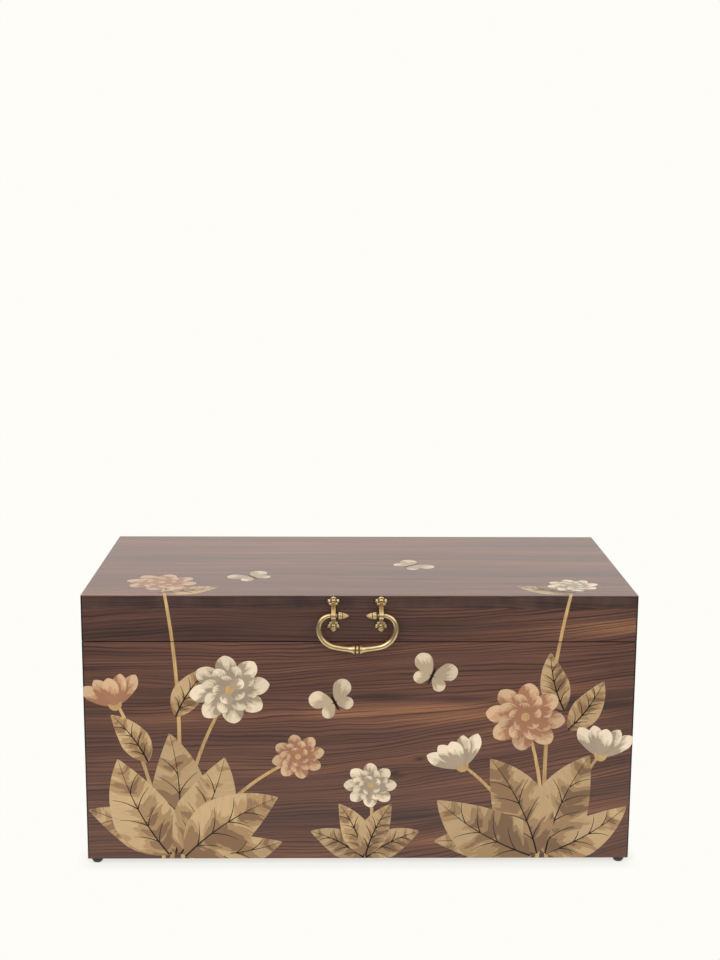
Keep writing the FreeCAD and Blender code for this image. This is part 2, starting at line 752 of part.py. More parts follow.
def petal(length, width, angle=0.0, tilt=1.0):
    """A petal pointing at an angle, flattened by the tilt of its flower."""
    turn = FreeCAD.Rotation(V(0, 0, 1), angle)
    def at(x, y):
        point = turn.multVec(V(x * width / 2, y * length, 0))
        return V(point.x, point.y * tilt, 0)
    foot, tip = at(0, petal_foot_share), at(0, 1)
    edges = []
    for side in (-1, 1):
        low, wide, high = (at(side * x, y) for x, y in petal_side_shares)
        edges += [arc(foot, low, wide), arc(wide, high, tip)]
    return flat_face(edges)


def rosette(radius, wood):
    """An open flower in rings of petals round a gold eye, seen a little from below."""
    pieces = []
    for count, reach, turn in ring_shares:
        length = radius * reach
        width = length * petal_overlap_share * math.pi / count
        pieces += [(wood, petal(length, width, 360 * (k + turn) / count, flower_tilt_share))
                   for k in range(count)]
    pieces.append(("gold", Part.Face(Part.Wire([Part.makeCircle(radius * flower_eye_share)]))))
    pieces = without_covered(pieces)
    return [face for _, face in pieces], pieces


def bell(wood):
    """A half-open flower from the side: petals behind a middle one, in a gold cup."""
    width = bell_length * bell_petal_width_share
    pieces = [(wood, petal(bell_length * (1 - bell_step_share * k), width, side * spread))
              for k, spread in enumerate(bell_spreads) for side in (-1, 1)]
    pieces.append((wood, petal(*(bell_length * share for share in bell_middle_shares))))
    x, y, low, high = (bell_length * share for share in bell_cup_shares)
    cup = flat_face([arc(V(-x, y, 0), V(0, low, 0), V(x, y, 0)), arc(V(x, y, 0), V(0, high, 0), V(-x, y, 0))])
    pieces = without_covered(pieces + [("gold", cup)])
    return [face for _, face in pieces], pieces


def butterfly():
    """Two upper and two lower wings with an ebony body."""
    pieces = []
    for side in (-1, 1):
        for shares, turn in zip((lower_wing_shares, upper_wing_shares), wing_turns):
            pieces.append(("wing", petal(*(wing_span * share for share in shares), side * turn)))
    length, thickness = (wing_span * share for share in butterfly_body_shares)
    edges = []
    for x, y in ((thickness, length), (-thickness, -length)):
        waist, middle = x * butterfly_waist_share, V(x, 0, 0)
        edges.append(arc(V(0, -y, 0), V(waist, -y / 2, 0), middle))
        edges.append(arc(middle, V(waist, y / 2, 0), V(0, y, 0)))
    pieces = without_covered(pieces + [("ebony", flat_face(edges))])
    return [face for _, face in pieces], pieces


def stem(root, end, bow_share):
    """A tapering stem that bows sideways."""
    a, b = V(*root, 0), V(*end, 0)
    face = tapered(a, b, stem_root_width, stem_end_width, bow_share * b.sub(a).Length)
    return [face], [("gold", face)]


def on_unrolled(place):
    """A place on the box's front, from 0 to 1, or on the top, from 1 to 2, in lengths."""
    x, up = place
    height = up * (rim - box_bottom) if up <= 1 else body_height + (up - 1) * trunk_depth
    return x * trunk_width, height


def can_be_cut(face):
    """Whether a piece is wide enough, over its length, to be cut from veneer."""
    return 2 * face.Area / face.OuterWire.Length > smallest_piece_width


def inlay_motifs():
    """Every motif in its place, as (outlines, pieces), from the lowest to the highest."""
    leaf_sizes = {"tall_leaf": (tall_leaf_length, tall_leaf_width),
                  "broad_leaf": (broad_leaf_length, broad_leaf_width),
                  "long_leaf": (long_leaf_length, long_leaf_width),
                  "small_leaf": (small_leaf_length, small_leaf_width)}
    radii = {"large": large_flower_radius, "middle": middle_flower_radius, "small": small_flower_radius}
    motifs = [stem(on_unrolled(root), on_unrolled(end), bow) for root, end, bow in stem_place_shares]
    rows = [(kind, bends, turn, place) for place, turn, kind, bends in leaf_place_shares]
    drawn = {}
    for kind, variant, turn, place in rows + list(flower_place_shares):
        if (kind, variant) not in drawn:
            if kind in leaf_sizes:
                motif = leaf(*leaf_sizes[kind], variant)
            elif kind in radii:
                motif = rosette(radii[kind], variant)
            else:
                motif = bell(variant) if kind == "bell" else butterfly()
            drawn[kind, variant] = motif
        outlines, pieces = drawn[kind, variant]
        at = on_unrolled(place)
        outlines = [face for _, face in placed([("", face) for face in outlines], turn, at)]
        motifs.append((outlines, placed(pieces, turn, at)))
    return motifs


def without_hidden(motifs):
    """The pieces that show, where a later motif lies over an earlier one."""
    seen = []
    for k, (_, pieces) in enumerate(motifs):
        later = [outline for outlines, _ in motifs[k + 1:] for outline in outlines]
        for wood, face in pieces:
            over = [o for o in later if o.BoundBox.intersect(face.BoundBox)]
            seen += [(wood, part) for part in (face.cut(over) if over else face).Faces]
    return [(wood, face) for wood, face in seen if can_be_cut(face)]


def inlaid_sheet(bottom, top, motifs, pieces):
    """A face veneer between two heights on the unrolled trunk, and the pieces that lie in it."""
    sheet = Part.makePlane(trunk_width, top - bottom, V(-half_width, bottom, 0))
    bounds = sheet.BoundBox
    inside = []
    for wood, face in pieces:
        box = face.BoundBox
        if not box.intersect(bounds):
            continue
        whole = bounds.XMin < box.XMin and box.XMax < bounds.XMax
        whole = whole and bounds.YMin < box.YMin and box.YMax < bounds.YMax
        parts = [face] if whole else face.common(sheet).Faces
        inside += [(wood, part) for part in parts if can_be_cut(part)]
    for outlines, _ in motifs:
        over = [o for o in outlines if o.BoundBox.intersect(bounds)]
        sheet = sheet.cut(over) if over else sheet
    return [("sheet", face) for face in sheet.Faces if can_be_cut(face)] + inside


def on_front(face):
    """A flat piece stood up in the front face, one veneer thick."""
    face = face.copy()
    face.rotate(V(0, 0, 0), V(1, 0, 0), 90)
    face.translate(V(0, y_front, box_bottom))
    return face.extrude(V(0, veneer, 0))


def on_top(face):
    """A flat piece laid in the top face, one veneer thick."""
    face = face.copy()
    face.translate(V(0, y_front - body_height, lid_top - veneer))
    return face.extrude(V(0, 0, veneer))


def inlaid_parts():
    """The face veneers and what is let into them, by panel and wood."""
    motifs = inlay_motifs()
    pieces = without_hidden(motifs)
    names = {"gold": "stem_inlays", "light_leaf": "light_leaf_inlays", "dark_leaf": "dark_leaf_inlays",
             "ebony": "ebony_inlays", "cream": "cream_petal_inlays", "peach": "peach_petal_inlays",
             "wing": "wing_inlays"}
    top_edge = body_height - veneer
    board_edge = top_edge - lid_board
    panels = (("box", "box_front_veneer", 0, rim - box_bottom, on_front),
              ("lid", "lid_front_veneer", lid_rim - box_bottom, board_edge, on_front),
              ("lid", "lid_edge_veneer", board_edge, top_edge, on_front),
              ("lid", "lid_top_veneer", body_height, body_height + trunk_depth, on_top))
    envelopes = {"box": rounded_block(box_bottom, rim, False), "lid": rounded_block(lid_rim, lid_top, True)}
    parts = {}
    for panel, sheet_name, bottom, top, stand in panels:
        for wood, face in inlaid_sheet(bottom, top, motifs, pieces):
            name = sheet_name if wood == "sheet" else panel + "_" + names[wood]
            parts.setdefault(name, []).extend(within(stand(face), envelopes[panel]))
    holes = [rod(V(x, y_front - overrun, z), V(0, 1, 0), 2 * overrun, handle_screw_radius + fit_gap / 4)
             for x, z in handle_screw_points()]
    for name in ("lid_front_veneer", "lid_edge_veneer"):
        parts[name] = [s for piece in parts[name] for s in piece.cut(holes).Solids]
    return parts


# Assembly of the trunk

def box_parts():
    walls = mitred_walls(box_bottom, rim)
    tongues = corner_splines(box_bottom + spline_stop, rim - spline_stop / 2, 0)
    cuts = corner_splines(box_bottom + spline_stop, rim - spline_stop / 2, fit_gap / 2)
    cuts.append(floor_board(fit_gap))
    cuts += [foot_nail(x, y, fit_gap / 4) for _, x, y in foot_centres()]
    for _, x in hinge_centres():
        cuts.append(hinge_mortise(x, -1))
        cuts += hinge_screws(x, -1, 0)
    in_box = stay_points()[1]
    for screw in stay_screws(in_box, 0):
        cuts += [screw, mirrored(screw)]
    envelope = rounded_block(box_bottom, rim, False)
    walls = {side: keep_largest(wall.common(envelope)).cut(cuts) for side, wall in walls.items()}
    parts = {
        "front_panel": [walls["front"]],
        "back_panel": [walls["back"]],
        "left_side_panel": [walls["left"]],
        "right_side_panel": [walls["right"]],
        "floor_board": [floor_board(0)],
        "box_corner_splines": tongues,
        "floor_glue_blocks": corner_blocks(),
        "rim_bumpers": rim_bumpers(),
        "foot_nails": [foot_nail(x, y, 0) for _, x, y in foot_centres()],
    }
    for name, x, y in foot_centres():
        parts[name] = [foot(x, y)]
    parts["box_hinge_screws"] = []
    for name, x in hinge_centres():
        parts[name + "_hinge_box_leaf"] = [hinge_leaf_solid(x, -1)]
        parts[name + "_hinge_pin"] = [hinge_pin(x)]
        parts["box_hinge_screws"] += hinge_screws(x, -1, 0)
    stud = stay_stud(in_box)
    parts["right_stay_box_stud"] = [stud]
    parts["left_stay_box_stud"] = [mirrored(stud)]
    screws = stay_screws(in_box, 0)
    parts["box_stay_screws"] = screws + [mirrored(s) for s in screws]
    return parts


def lid_parts():
    rails = mitred_walls(lid_rim, board_under)
    tongue_span = (lid_rim + spline_stop / 4, board_under - spline_stop / 4)
    cuts = corner_splines(*tongue_span, fit_gap / 2)
    for _, x in hinge_centres():
        cuts.append(hinge_mortise(x, 1))
        cuts += hinge_screws(x, 1, 0)
    on_lid = stay_points()[0]
    for screw in stay_screws(on_lid, 0):
        cuts += [screw, mirrored(screw)]
    holes = [rod(V(x, y_front - overrun, z), V(0, 1, 0), handle_screw_length + overrun,
                 handle_screw_radius + fit_gap / 4) for x, z in handle_screw_points()]
    cuts += holes
    envelope = rounded_block(lid_rim, lid_top, True)
    rails = {side: keep_largest(rail.common(envelope)).cut(cuts) for side, rail in rails.items()}
    board = block(-half_width, half_width, y_core, y_back, board_under, lid_top - veneer)
    parts = {
        "lid_board": [keep_largest(board.common(envelope)).cut(holes)],
        "lid_front_rail": [rails["front"]],
        "lid_back_rail": [rails["back"]],
        "lid_left_rail": [rails["left"]],
        "lid_right_rail": [rails["right"]],
        "lid_corner_splines": corner_splines(*tongue_span, 0),
        "left_handle_bracket": [bracket(-1)],
        "right_handle_bracket": [bracket(1)],
        "handle_screws": [handle_screw(x, z) for x, z in handle_screw_points()],
        "lid_hinge_screws": [],
    }
    for name, x in hinge_centres():
        parts[name + "_hinge_lid_leaf"] = [hinge_leaf_solid(x, 1)]
        parts["lid_hinge_screws"] += hinge_screws(x, 1, 0)
    stud = stay_stud(on_lid)
    parts["right_stay_lid_stud"] = [stud]
    parts["left_stay_lid_stud"] = [mirrored(stud)]
    screws = stay_screws(on_lid, 0)
    parts["lid_stay_screws"] = screws + [mirrored(s) for s in screws]
    return parts


def moving_parts():
    arm = stay_arm_solid()
    bud = finial()
    return {
        "right_stay_arm": [arm],
        "left_stay_arm": [mirrored(arm)],
        "handle_bail": [bail()],
        "right_bail_finial": [placed_on_handle(bud, 1)],
        "left_bail_finial": [placed_on_handle(bud, -1)],
    }


def main():
    os.makedirs("parts", exist_ok=True)
    parts = box_parts()
    parts.update(lid_parts())
    parts.update(inlaid_parts())
    parts.update(moving_parts())
    for name, solids in parts.items():
        export(name, solids)
    for name, solids in parts.items():
        bad = [s for s in solids if not s.isValid() or len(s.Solids) != 1]
        if bad:
            print(name, "has", len(bad), "pieces that are not one valid solid", [len(s.Solids) for s in bad])
    print(len(parts), "nodes")


main()
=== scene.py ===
import json
import math
import random

import bmesh
import bpy
from mathutils import Matrix, Vector

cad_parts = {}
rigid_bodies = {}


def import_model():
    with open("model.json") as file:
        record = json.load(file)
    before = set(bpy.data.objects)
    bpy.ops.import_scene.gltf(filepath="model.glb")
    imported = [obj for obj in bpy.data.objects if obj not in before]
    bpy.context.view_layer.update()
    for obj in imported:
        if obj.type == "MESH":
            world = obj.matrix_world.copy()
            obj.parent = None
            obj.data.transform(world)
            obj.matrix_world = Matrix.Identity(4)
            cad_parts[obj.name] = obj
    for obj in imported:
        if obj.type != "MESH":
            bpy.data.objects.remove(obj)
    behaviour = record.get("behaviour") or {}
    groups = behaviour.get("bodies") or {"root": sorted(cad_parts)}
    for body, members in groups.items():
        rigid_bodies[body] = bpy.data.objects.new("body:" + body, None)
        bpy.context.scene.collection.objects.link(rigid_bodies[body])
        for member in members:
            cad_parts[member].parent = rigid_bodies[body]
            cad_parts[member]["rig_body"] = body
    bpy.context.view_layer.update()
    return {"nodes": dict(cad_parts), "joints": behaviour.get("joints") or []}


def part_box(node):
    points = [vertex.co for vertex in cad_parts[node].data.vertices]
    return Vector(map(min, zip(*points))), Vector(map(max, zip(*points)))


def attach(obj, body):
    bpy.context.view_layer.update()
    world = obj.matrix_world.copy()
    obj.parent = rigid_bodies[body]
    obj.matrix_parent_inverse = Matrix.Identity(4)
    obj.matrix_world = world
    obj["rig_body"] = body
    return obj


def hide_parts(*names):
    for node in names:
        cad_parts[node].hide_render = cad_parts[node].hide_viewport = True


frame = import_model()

nodes = frame["nodes"]
random.seed(7)


# Levels taken from the frame, in metres

front_low, front_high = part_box("box_front_veneer")
top_low, top_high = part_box("lid_top_veneer")
width = top_high.x - top_low.x
depth = top_high.y - top_low.y
front_y = front_low.y
body_bottom = front_low.z
lid_top = top_high.z
body_height = lid_top - body_bottom
front_height = front_high.z - body_bottom
veneer = lid_top - top_low.z
mm_per_metre = 1000.0


# Node helpers

class Shade:
    """Adds nodes to one shader tree with short calls. The functions below call it s."""

    def __init__(self, tree):
        self.tree = tree
        tree.nodes.clear()

    def put(self, socket, value):
        if isinstance(value, bpy.types.NodeSocket):
            self.tree.links.new(value, socket)
        elif hasattr(socket, "default_value"):
            if isinstance(value, tuple) and len(value) == 3 and len(socket.default_value) == 4:
                value = (*value, 1.0)
            socket.default_value = value

    def node(self, kind, inputs=None, **settings):
        made = self.tree.nodes.new("ShaderNode" + kind)
        for name, value in settings.items():
            setattr(made, name, value)
        for name, value in (inputs or {}).items():
            self.put(made.inputs[name], value)
        return made

    def math(self, operation, a, b=0.0, c=0.0, clamp=False):
        made = self.node("Math", operation=operation, use_clamp=clamp)
        for socket, value in zip(made.inputs, (a, b, c)):
            self.put(socket, value)
        return made.outputs[0]

    def vector(self, operation, a, b=(0.0, 0.0, 0.0)):
        made = self.node("VectorMath", operation=operation)
        self.put(made.inputs[0], a)
        if operation == "SCALE":
            self.put(made.inputs["Scale"], b)
        else:
            self.put(made.inputs[1], b)
        return made.outputs["Value"] if operation in ("DOT_PRODUCT", "LENGTH") else made.outputs[0]

    def parts(self, vector):
        made = self.node("SeparateXYZ", {"Vector": vector})
        return made.outputs[0], made.outputs[1], made.outputs[2]

    def joined(self, x, y, z):
        return self.node("CombineXYZ", {"X": x, "Y": y, "Z": z}).outputs[0]

    def attribute(self, name):
        return self.node("Attribute", attribute_name=name)

    def noise(self, vector, scale=1.0, detail=2.0, rough=0.5, distortion=0.0):
        made = self.node("TexNoise", {"Vector": vector, "Scale": scale, "Detail": detail,
                                      "Roughness": rough, "Distortion": distortion})
        return made.outputs["Fac"]

    def span(self, value, low, high, to_low=0.0, to_high=1.0, smooth=True):
        made = self.node("MapRange", {"Value": value, "From Min": low, "From Max": high,
                                      "To Min": to_low, "To Max": to_high})
        made.interpolation_type = "SMOOTHSTEP" if smooth else "LINEAR"
        return made.outputs[0]

    def mix(self, share, a, b, blend="MIX"):
        made = self.node("Mix", data_type="RGBA", blend_type=blend)
        self.put(made.inputs[0], share)
        self.put(made.inputs[6], a)
        self.put(made.inputs[7], b)
        return made.outputs[2]

    def dimmed(self, colour, share):
        """The colour times a grey share."""
        return self.mix(1.0, colour, self.joined(share, share, share), "MULTIPLY")

    def swayed(self, value, noise, reach):
        """The value moved up and down by a noise round its middle, over the whole reach."""
        return self.math("MULTIPLY_ADD", self.math("SUBTRACT", noise, 0.5), reach, value)

    def bump(self, height, strength, distance):
        return self.node("Bump", {"Height": height, "Strength": strength, "Distance": distance}).outputs[0]

    def switched(self, share, first, second):
        """One shader or the other, by a share or a kind of ray."""
        made = self.node("MixShader", {"Fac": share})
        self.put(made.inputs[1], first)
        self.put(made.inputs[2], second)
        return made.outputs[0]

    def surface(self, **inputs):
        shader = self.node("BsdfPrincipled")
        for name, value in inputs.items():
            self.put(shader.inputs[name.replace("_", " ")], value)
        self.put(self.node("OutputMaterial").inputs["Surface"], shader.outputs[0])


def shaded(name, surface, *values, **named):
    """A new material whose nodes the function surface adds."""
    material = bpy.data.materials.new(name)
    material.use_nodes = True
    surface(Shade(material.node_tree), *values, **named)
    return material


def object_mm(s):
    """The point in millimetres, in the frame of the body that the piece rides on."""
    return s.vector("SCALE", s.node("TexCoord").outputs["Object"], mm_per_metre)


# Dark wood. Its colours lie on a tone scale, the figure is in mm, and the bump is in metres.

wood_tones = ((0.06, (0.046, 0.024, 0.019)), (0.36, (0.094, 0.042, 0.030)),
              (0.64, (0.152, 0.065, 0.040)), (1.00, (0.300, 0.135, 0.062)))
middle_tone = 0.46
line_colour = (0.030, 0.014, 0.012)
streak_colour = (0.022, 0.014, 0.012)
pore_colour = (0.024, 0.012, 0.009)
# The colour of the painted shade in narrow gaps
painted_gap_shade_colour = (0.010, 0.006, 0.005)
line_spacing = 6.4
line_drift = 2.6
# Where the painted shade at the wood's ends starts and stops, in mm in from the end
end_shadow = (3.4, 1.6)
lacquer_roughness = 0.22
skin_bump = 0.0003
# How close another surface must lie for the painted shade in narrow gaps, in metres
painted_gap_shade_reach = 0.003

# Patches of the figure: how long and how wide they are, and which stretch of the noise they have

sways = (((380.0, 120.0, 0.0), 40.0), ((90.0, 30.0, 3.1), 6.0))
zone_patch = (900.0, 46.0, 5.7)
band_patch = (520.0, 15.0, 8.3)
drift_patch = (700.0, 21.0, 11.9)
fibre_patch = (160.0, 1.3, 14.2)
pore_patch = (9.0, 0.6, 17.5)
dark_patch = (420.0, 9.0, 21.4)
firm_patch = (260.0, 17.0, 29.0)
curl_patch = (30.0, 60.0, 33.0)

# A knot's mound and core, along and across the grain, and how far it pushes the grain, as shares of its size

knot_mound_shares = (3.2, 1.3)
knot_core_shares = (1.1, 0.5)
knot_push_share = 0.9


def streak(s, along, across, patch, shift, detail=2.0, rough=0.5):
    """Noise drawn out along the grain in patches of one kind."""
    long, wide, stretch = patch
    point = s.joined(s.math("DIVIDE", along, long), s.math("DIVIDE", across, wide), shift + stretch)
    return s.noise(point, 1.0, detail, rough)


def hump(s, along, across, place_a, place_b, reach_a, reach_b):
    """A round hump, 1 at its place and 0 far from it, and the distance across as a share of its reach."""
    da = s.math("DIVIDE", s.math("SUBTRACT", along, place_a), reach_a)
    db = s.math("DIVIDE", s.math("SUBTRACT", across, place_b), reach_b)
    square = s.math("MULTIPLY_ADD", da, da, s.math("MULTIPLY", db, db))
    return s.math("POWER", math.e, s.math("MULTIPLY", square, -1.0)), db


def knotted(s, along, across, knots):
    """Bends the grain round the knots. A knot is (along, across, size). Gives its stain too."""
    mound_long, mound_wide = knot_mound_shares
    core_long, core_wide = knot_core_shares
    stain = 0.0
    for place_a, place_b, size in knots:
        mound, offset = hump(s, along, across, place_a, place_b, size * mound_long, size * mound_wide)
        core, _ = hump(s, along, across, place_a, place_b, size * core_long, size * core_wide)
        push = s.math("MULTIPLY", mound, offset)
        across = s.math("MULTIPLY_ADD", push, -size * knot_push_share, across)
        stain = s.math("ADD", stain, core)
    return across, stain


def glow_lift(s, along, across, glows):
    """How much the glows lighten the wood. A glow is (along, across, its two reaches, its strength)."""
    lift = 0.0
    for place_a, place_b, reach_a, reach_b, strength in glows:
        mound, _ = hump(s, along, across, place_a, place_b, reach_a, reach_b)
        lift = s.math("MULTIPLY_ADD", mound, strength, lift)
    return lift


def flow(s, along, across, flows):
    """Bends the grain. A flow is (place along, reach, slope before it, slope after it)."""
    for place, reach, before, after in flows:
        offset = s.math("SUBTRACT", along, place)
        bow = s.math("SQRT", s.math("MULTIPLY_ADD", offset, offset, reach * reach))
        across = s.math("MULTIPLY_ADD", bow, -(after - before) / 2, across)
        across = s.math("MULTIPLY_ADD", offset, -(after + before) / 2, across)
    return across


def fan(s, along, across, fans):
    """Leans the grain. A fan is (place along, reach, level, lean), and past its place the grain leans
    more the further it lies from the level."""
    for place, reach, level, lean in fans:
        offset = s.math("SUBTRACT", along, place)
        bow = s.math("SQRT", s.math("MULTIPLY_ADD", offset, offset, reach * reach))
        past = s.math("MULTIPLY", s.math("ADD", offset, bow), lean / 2)
        across = s.math("MULTIPLY_ADD", past, s.math("SUBTRACT", across, level), across)
    return across


def wood_tone(s, along, across, shift, fibres, contrast):
    """Where the wood lies on the tone scale: broad zones, bands and fibres round the middle tone."""
    zones = streak(s, along, across, zone_patch, shift)
    bands = streak(s, along, across, band_patch, shift)
    tone = s.swayed(middle_tone, zones, 0.70 * contrast)
    tone = s.swayed(tone, bands, 0.66 * contrast)
    return s.swayed(tone, fibres, 0.75 * contrast)


def wood_lines(s, along, across, shift, contrast):
    """The dark lines of the grain: evenly spaced, drifting, and firm only in places."""
    drift = streak(s, along, across, drift_patch, shift, 1.0)
    turns = s.math("MULTIPLY_ADD", drift, line_drift, s.math("DIVIDE", across, line_spacing))
    wave = s.math("SINE", s.math("MULTIPLY", turns, math.tau))
    firm = s.span(streak(s, along, across, firm_patch, shift), 0.34, 0.60, 0.30, 1.0)
    return s.math("MULTIPLY", s.span(wave, 0.05, 1.0), s.math("MULTIPLY", firm, 0.74 * contrast))


def toned(s, tone):
    """The wood's colour at a tone."""
    ramp = s.node("ValToRGB", {"Fac": tone})
    stops = ramp.color_ramp.elements
    darkest, *between, lightest = wood_tones
    for stop, (place, colour) in zip(stops, (darkest, lightest)):
        stop.position = place
        stop.color = (*colour, 1)
    for place, colour in between:
        stops.new(place).color = (*colour, 1)
    return ramp.outputs[0]


def dark_wood(s, axes, shift, tint=(1.0, 1.0, 1.0), flows=(), fans=(), knots=(), glows=(), end=0.0,
              contrast=1.0, curl=0.0, gloss=0.28, face=0.0):
    """Dark red-brown wood with even fine lines, pores and a satin lacquer. The axes are the numbers
    of the axes along, across and through the grain, shift picks a stretch of the figure, and face is
    the shown face's place through the grain. End is where painted shade darkens the wood at its ends,
    curl is how strong the patches across the grain are, and gloss is the weight of the lacquer. Painted
    shade also darkens the wood where another surface lies close, as in narrow gaps."""
    point = s.parts(object_mm(s))
    a = point[axes[0]]
    level = s.math("MULTIPLY_ADD", s.math("SUBTRACT", point[axes[2]], face), 0.35, point[axes[1]])
    b, stain = knotted(s, a, level, knots)
    lift = glow_lift(s, a, b, glows)
    b = fan(s, a, flow(s, a, b, flows), fans)
    for patch, reach in sways:
        b = s.swayed(b, streak(s, a, b, patch, shift), reach)
    fibres = streak(s, a, b, fibre_patch, shift)
    pores = streak(s, a, b, pore_patch, shift)
    dark_streaks = streak(s, a, b, dark_patch, shift, 1.0)
    tone = s.math("ADD", wood_tone(s, a, b, shift, fibres, contrast), lift)
    if curl:
        tone = s.swayed(tone, streak(s, a, level, curl_patch, shift), curl)
    colour = s.mix(wood_lines(s, a, b, shift, contrast), toned(s, tone), line_colour)
    colour = s.mix(s.span(dark_streaks, 0.68, 0.78, 0.0, 0.55 * contrast), colour, streak_colour)
    colour = s.mix(s.span(pores, 0.60, 0.74, 0.0, 0.34), colour, pore_colour)
    if knots:
        colour = s.mix(s.math("MULTIPLY", stain, 0.80, clamp=True), colour, streak_colour)
    colour = s.mix(1.0, colour, tint, "MULTIPLY")
    # Painted shade: the wood darkens where another surface lies within a few mm, as in the seam under the
    # lid and round the brackets
    painted_gap_shade = s.node("AmbientOcclusion", {"Distance": painted_gap_shade_reach}, samples=6).outputs["AO"]
    colour = s.mix(s.span(painted_gap_shade, 0.30, 0.80, 0.85, 0.0), colour, painted_gap_shade_colour)
    # Painted shade: the wood darkens over its last few mm towards its ends, where the corner turns away from
    # the light
    if end:
        start, stop = end_shadow
        colour = s.dimmed(colour, s.span(s.math("ABSOLUTE", a), end - start, end - stop, 1.0, 0.12))
    relief = s.math("MULTIPLY_ADD", pores, -0.7, s.math("MULTIPLY", fibres, 0.3))
    s.surface(Base_Color=colour, Roughness=s.span(fibres, 0.3, 0.7, 0.40, 0.48), Specular_IOR_Level=gloss,
              Coat_Weight=gloss, Coat_Roughness=lacquer_roughness, Normal=s.bump(relief, 0.08, skin_bump))


# Plain wood, with patches as in the dark wood

plain_sway = ((300.0, 60.0, 0.0), 30.0)
ring_patch = (500.0, 7.0, 0.0)
plain_fibre_patch = (14.0, 0.6, 0.0)


def plain_wood(s, axes, pale, warm, dark):
    """Sanded pale wood for the hidden boards and tongues. The axes are as in the dark wood."""
    point = s.parts(object_mm(s))
    a = point[axes[0]]
    b = s.math("MULTIPLY_ADD", point[axes[2]], 0.5, point[axes[1]])
    patch, reach = plain_sway
    bent = s.math("MULTIPLY_ADD", streak(s, a, b, patch, 0.0), reach, b)
    rings = streak(s, a, bent, ring_patch, 0.0, 4.0, 0.6)
    fibres = streak(s, a, bent, plain_fibre_patch, 0.0)
    colour = s.mix(s.span(rings, 0.3, 0.7), pale, warm)
    colour = s.mix(s.span(fibres, 0.55, 0.8, 0.0, 0.3), colour, dark)
    s.surface(Base_Color=colour, Roughness=0.62, Normal=s.bump(fibres, 0.12, skin_bump))


# Inlay woods. Each piece carries the foot, axis, side and reach of its leaf or flower, a tone and its ring.

inlay_gloss = 0.4


def piece_frame(s):
    """How far along and across its own axis a point of an inlaid piece lies, as shares of its reach."""
    point = s.node("TexCoord").outputs["Object"]
    offset = s.vector("SUBTRACT", point, s.attribute("foot").outputs["Vector"])
    reach = s.attribute("reach").outputs["Fac"]
    along = s.math("DIVIDE", s.vector("DOT_PRODUCT", offset, s.attribute("axis").outputs["Vector"]), reach)
    across = s.math("DIVIDE", s.vector("DOT_PRODUCT", offset, s.attribute("side").outputs["Vector"]), reach)
    return along, across


def lacquered(s, colour, height, gloss=inlay_gloss):
    """One piece of veneer, a little lighter or darker than the next, under the same lacquer as the wood."""
    shade = s.span(s.attribute("tone").outputs["Fac"], 0.0, 1.0, 0.86, 1.08, smooth=False)
    s.surface(Base_Color=s.dimmed(colour, shade), Roughness=0.44, Specular_IOR_Level=gloss,
              Coat_Weight=gloss, Coat_Roughness=lacquer_roughness, Normal=s.bump(height, 0.06, skin_bump))


def leaf_wood(s, light, middle, dark):
    """Leaf veneer with flame-like darker patches that follow the side veins."""
    along, across = piece_frame(s)
    jitter = s.math("MULTIPLY", s.attribute("tone").outputs["Fac"], 9.0)
    spread = s.math("ABSOLUTE", across)
    slant = s.math("MULTIPLY_ADD", spread, -0.62, along)
    flame_point = s.joined(s.math("MULTIPLY", slant, 8.0), s.math("MULTIPLY", across, 2.2), jitter)
    fibre_point = s.joined(s.math("MULTIPLY", slant, 150.0), s.math("MULTIPLY", across, 9.0), jitter)
    flames = s.noise(flame_point, 1.0, 3.0, 0.5, 0.30)
    fibre = s.noise(fibre_point, 1.0, 3.0)
    near_rib = s.span(spread, 0.02, 0.25, 0.10, -0.06)
    near_foot = s.span(along, 0.05, 0.8, 0.09, -0.05)
    level = s.math("ADD", flames, s.math("ADD", near_rib, near_foot))
    colour = s.mix(s.span(level, 0.49, 0.51), light, middle)
    colour = s.mix(s.span(level, 0.60, 0.62), colour, dark)
    colour = s.mix(s.span(fibre, 0.35, 0.75, 0.0, 0.30), colour, dark)
    lacquered(s, colour, fibre)


def petal_wood(s, light, middle, shadow):
    """Petal veneer in three tones with broken edges, darkest towards the flower's eye and along one side."""
    along, across = piece_frame(s)
    jitter = s.math("MULTIPLY", s.attribute("tone").outputs["Fac"], 17.0)
    turn = s.math("DIVIDE", across, s.math("ADD", along, 0.12))
    ray_point = s.joined(s.math("MULTIPLY", turn, 9.0), s.math("MULTIPLY", along, 2.4), jitter)
    fine_point = s.joined(s.math("MULTIPLY", turn, 60.0), s.math("MULTIPLY", along, 4.0), jitter)
    rays = s.noise(ray_point, 1.0, 3.0, 0.55)
    fine = s.noise(fine_point)
    reach = s.math("MULTIPLY_ADD", s.attribute("ring").outputs["Fac"], 0.55, 0.45)
    level = s.swayed(s.math("DIVIDE", along, reach), rays, 0.75)
    level = s.math("ADD", level, s.span(turn, -0.34, 0.10, -0.22, 0.06))
    colour = s.mix(s.span(level, 0.58, 0.64), shadow, middle)
    colour = s.mix(s.span(level, 0.71, 0.77), colour, light)
    colour = s.mix(s.span(fine, 0.48, 0.80, 0.0, 0.25), colour, shadow)
    lacquered(s, colour, fine)


def streaked_veneer(s, light, dark, gloss=inlay_gloss):
    """Straight-grained dyed veneer for stems, eyes and ribs."""
    x, y, z = s.parts(object_mm(s))
    tone = s.attribute("tone").outputs["Fac"]
    point = s.joined(s.math("MULTIPLY", x, 0.8), s.math("MULTIPLY", y, 0.05),
                     s.math("MULTIPLY_ADD", z, 0.02, s.math("MULTIPLY", tone, 7.0)))
    grain = s.noise(point, 1.0, 3.0, 0.6)
    patches = s.noise(s.joined(x, y, z), 0.03)
    level = s.math("MULTIPLY_ADD", patches, 0.5, s.math("MULTIPLY", grain, 0.5))
    lacquered(s, s.mix(s.span(level, 0.38, 0.62), dark, light), grain, gloss)


# Metals and plastics

brass_nook_reach = 0.005


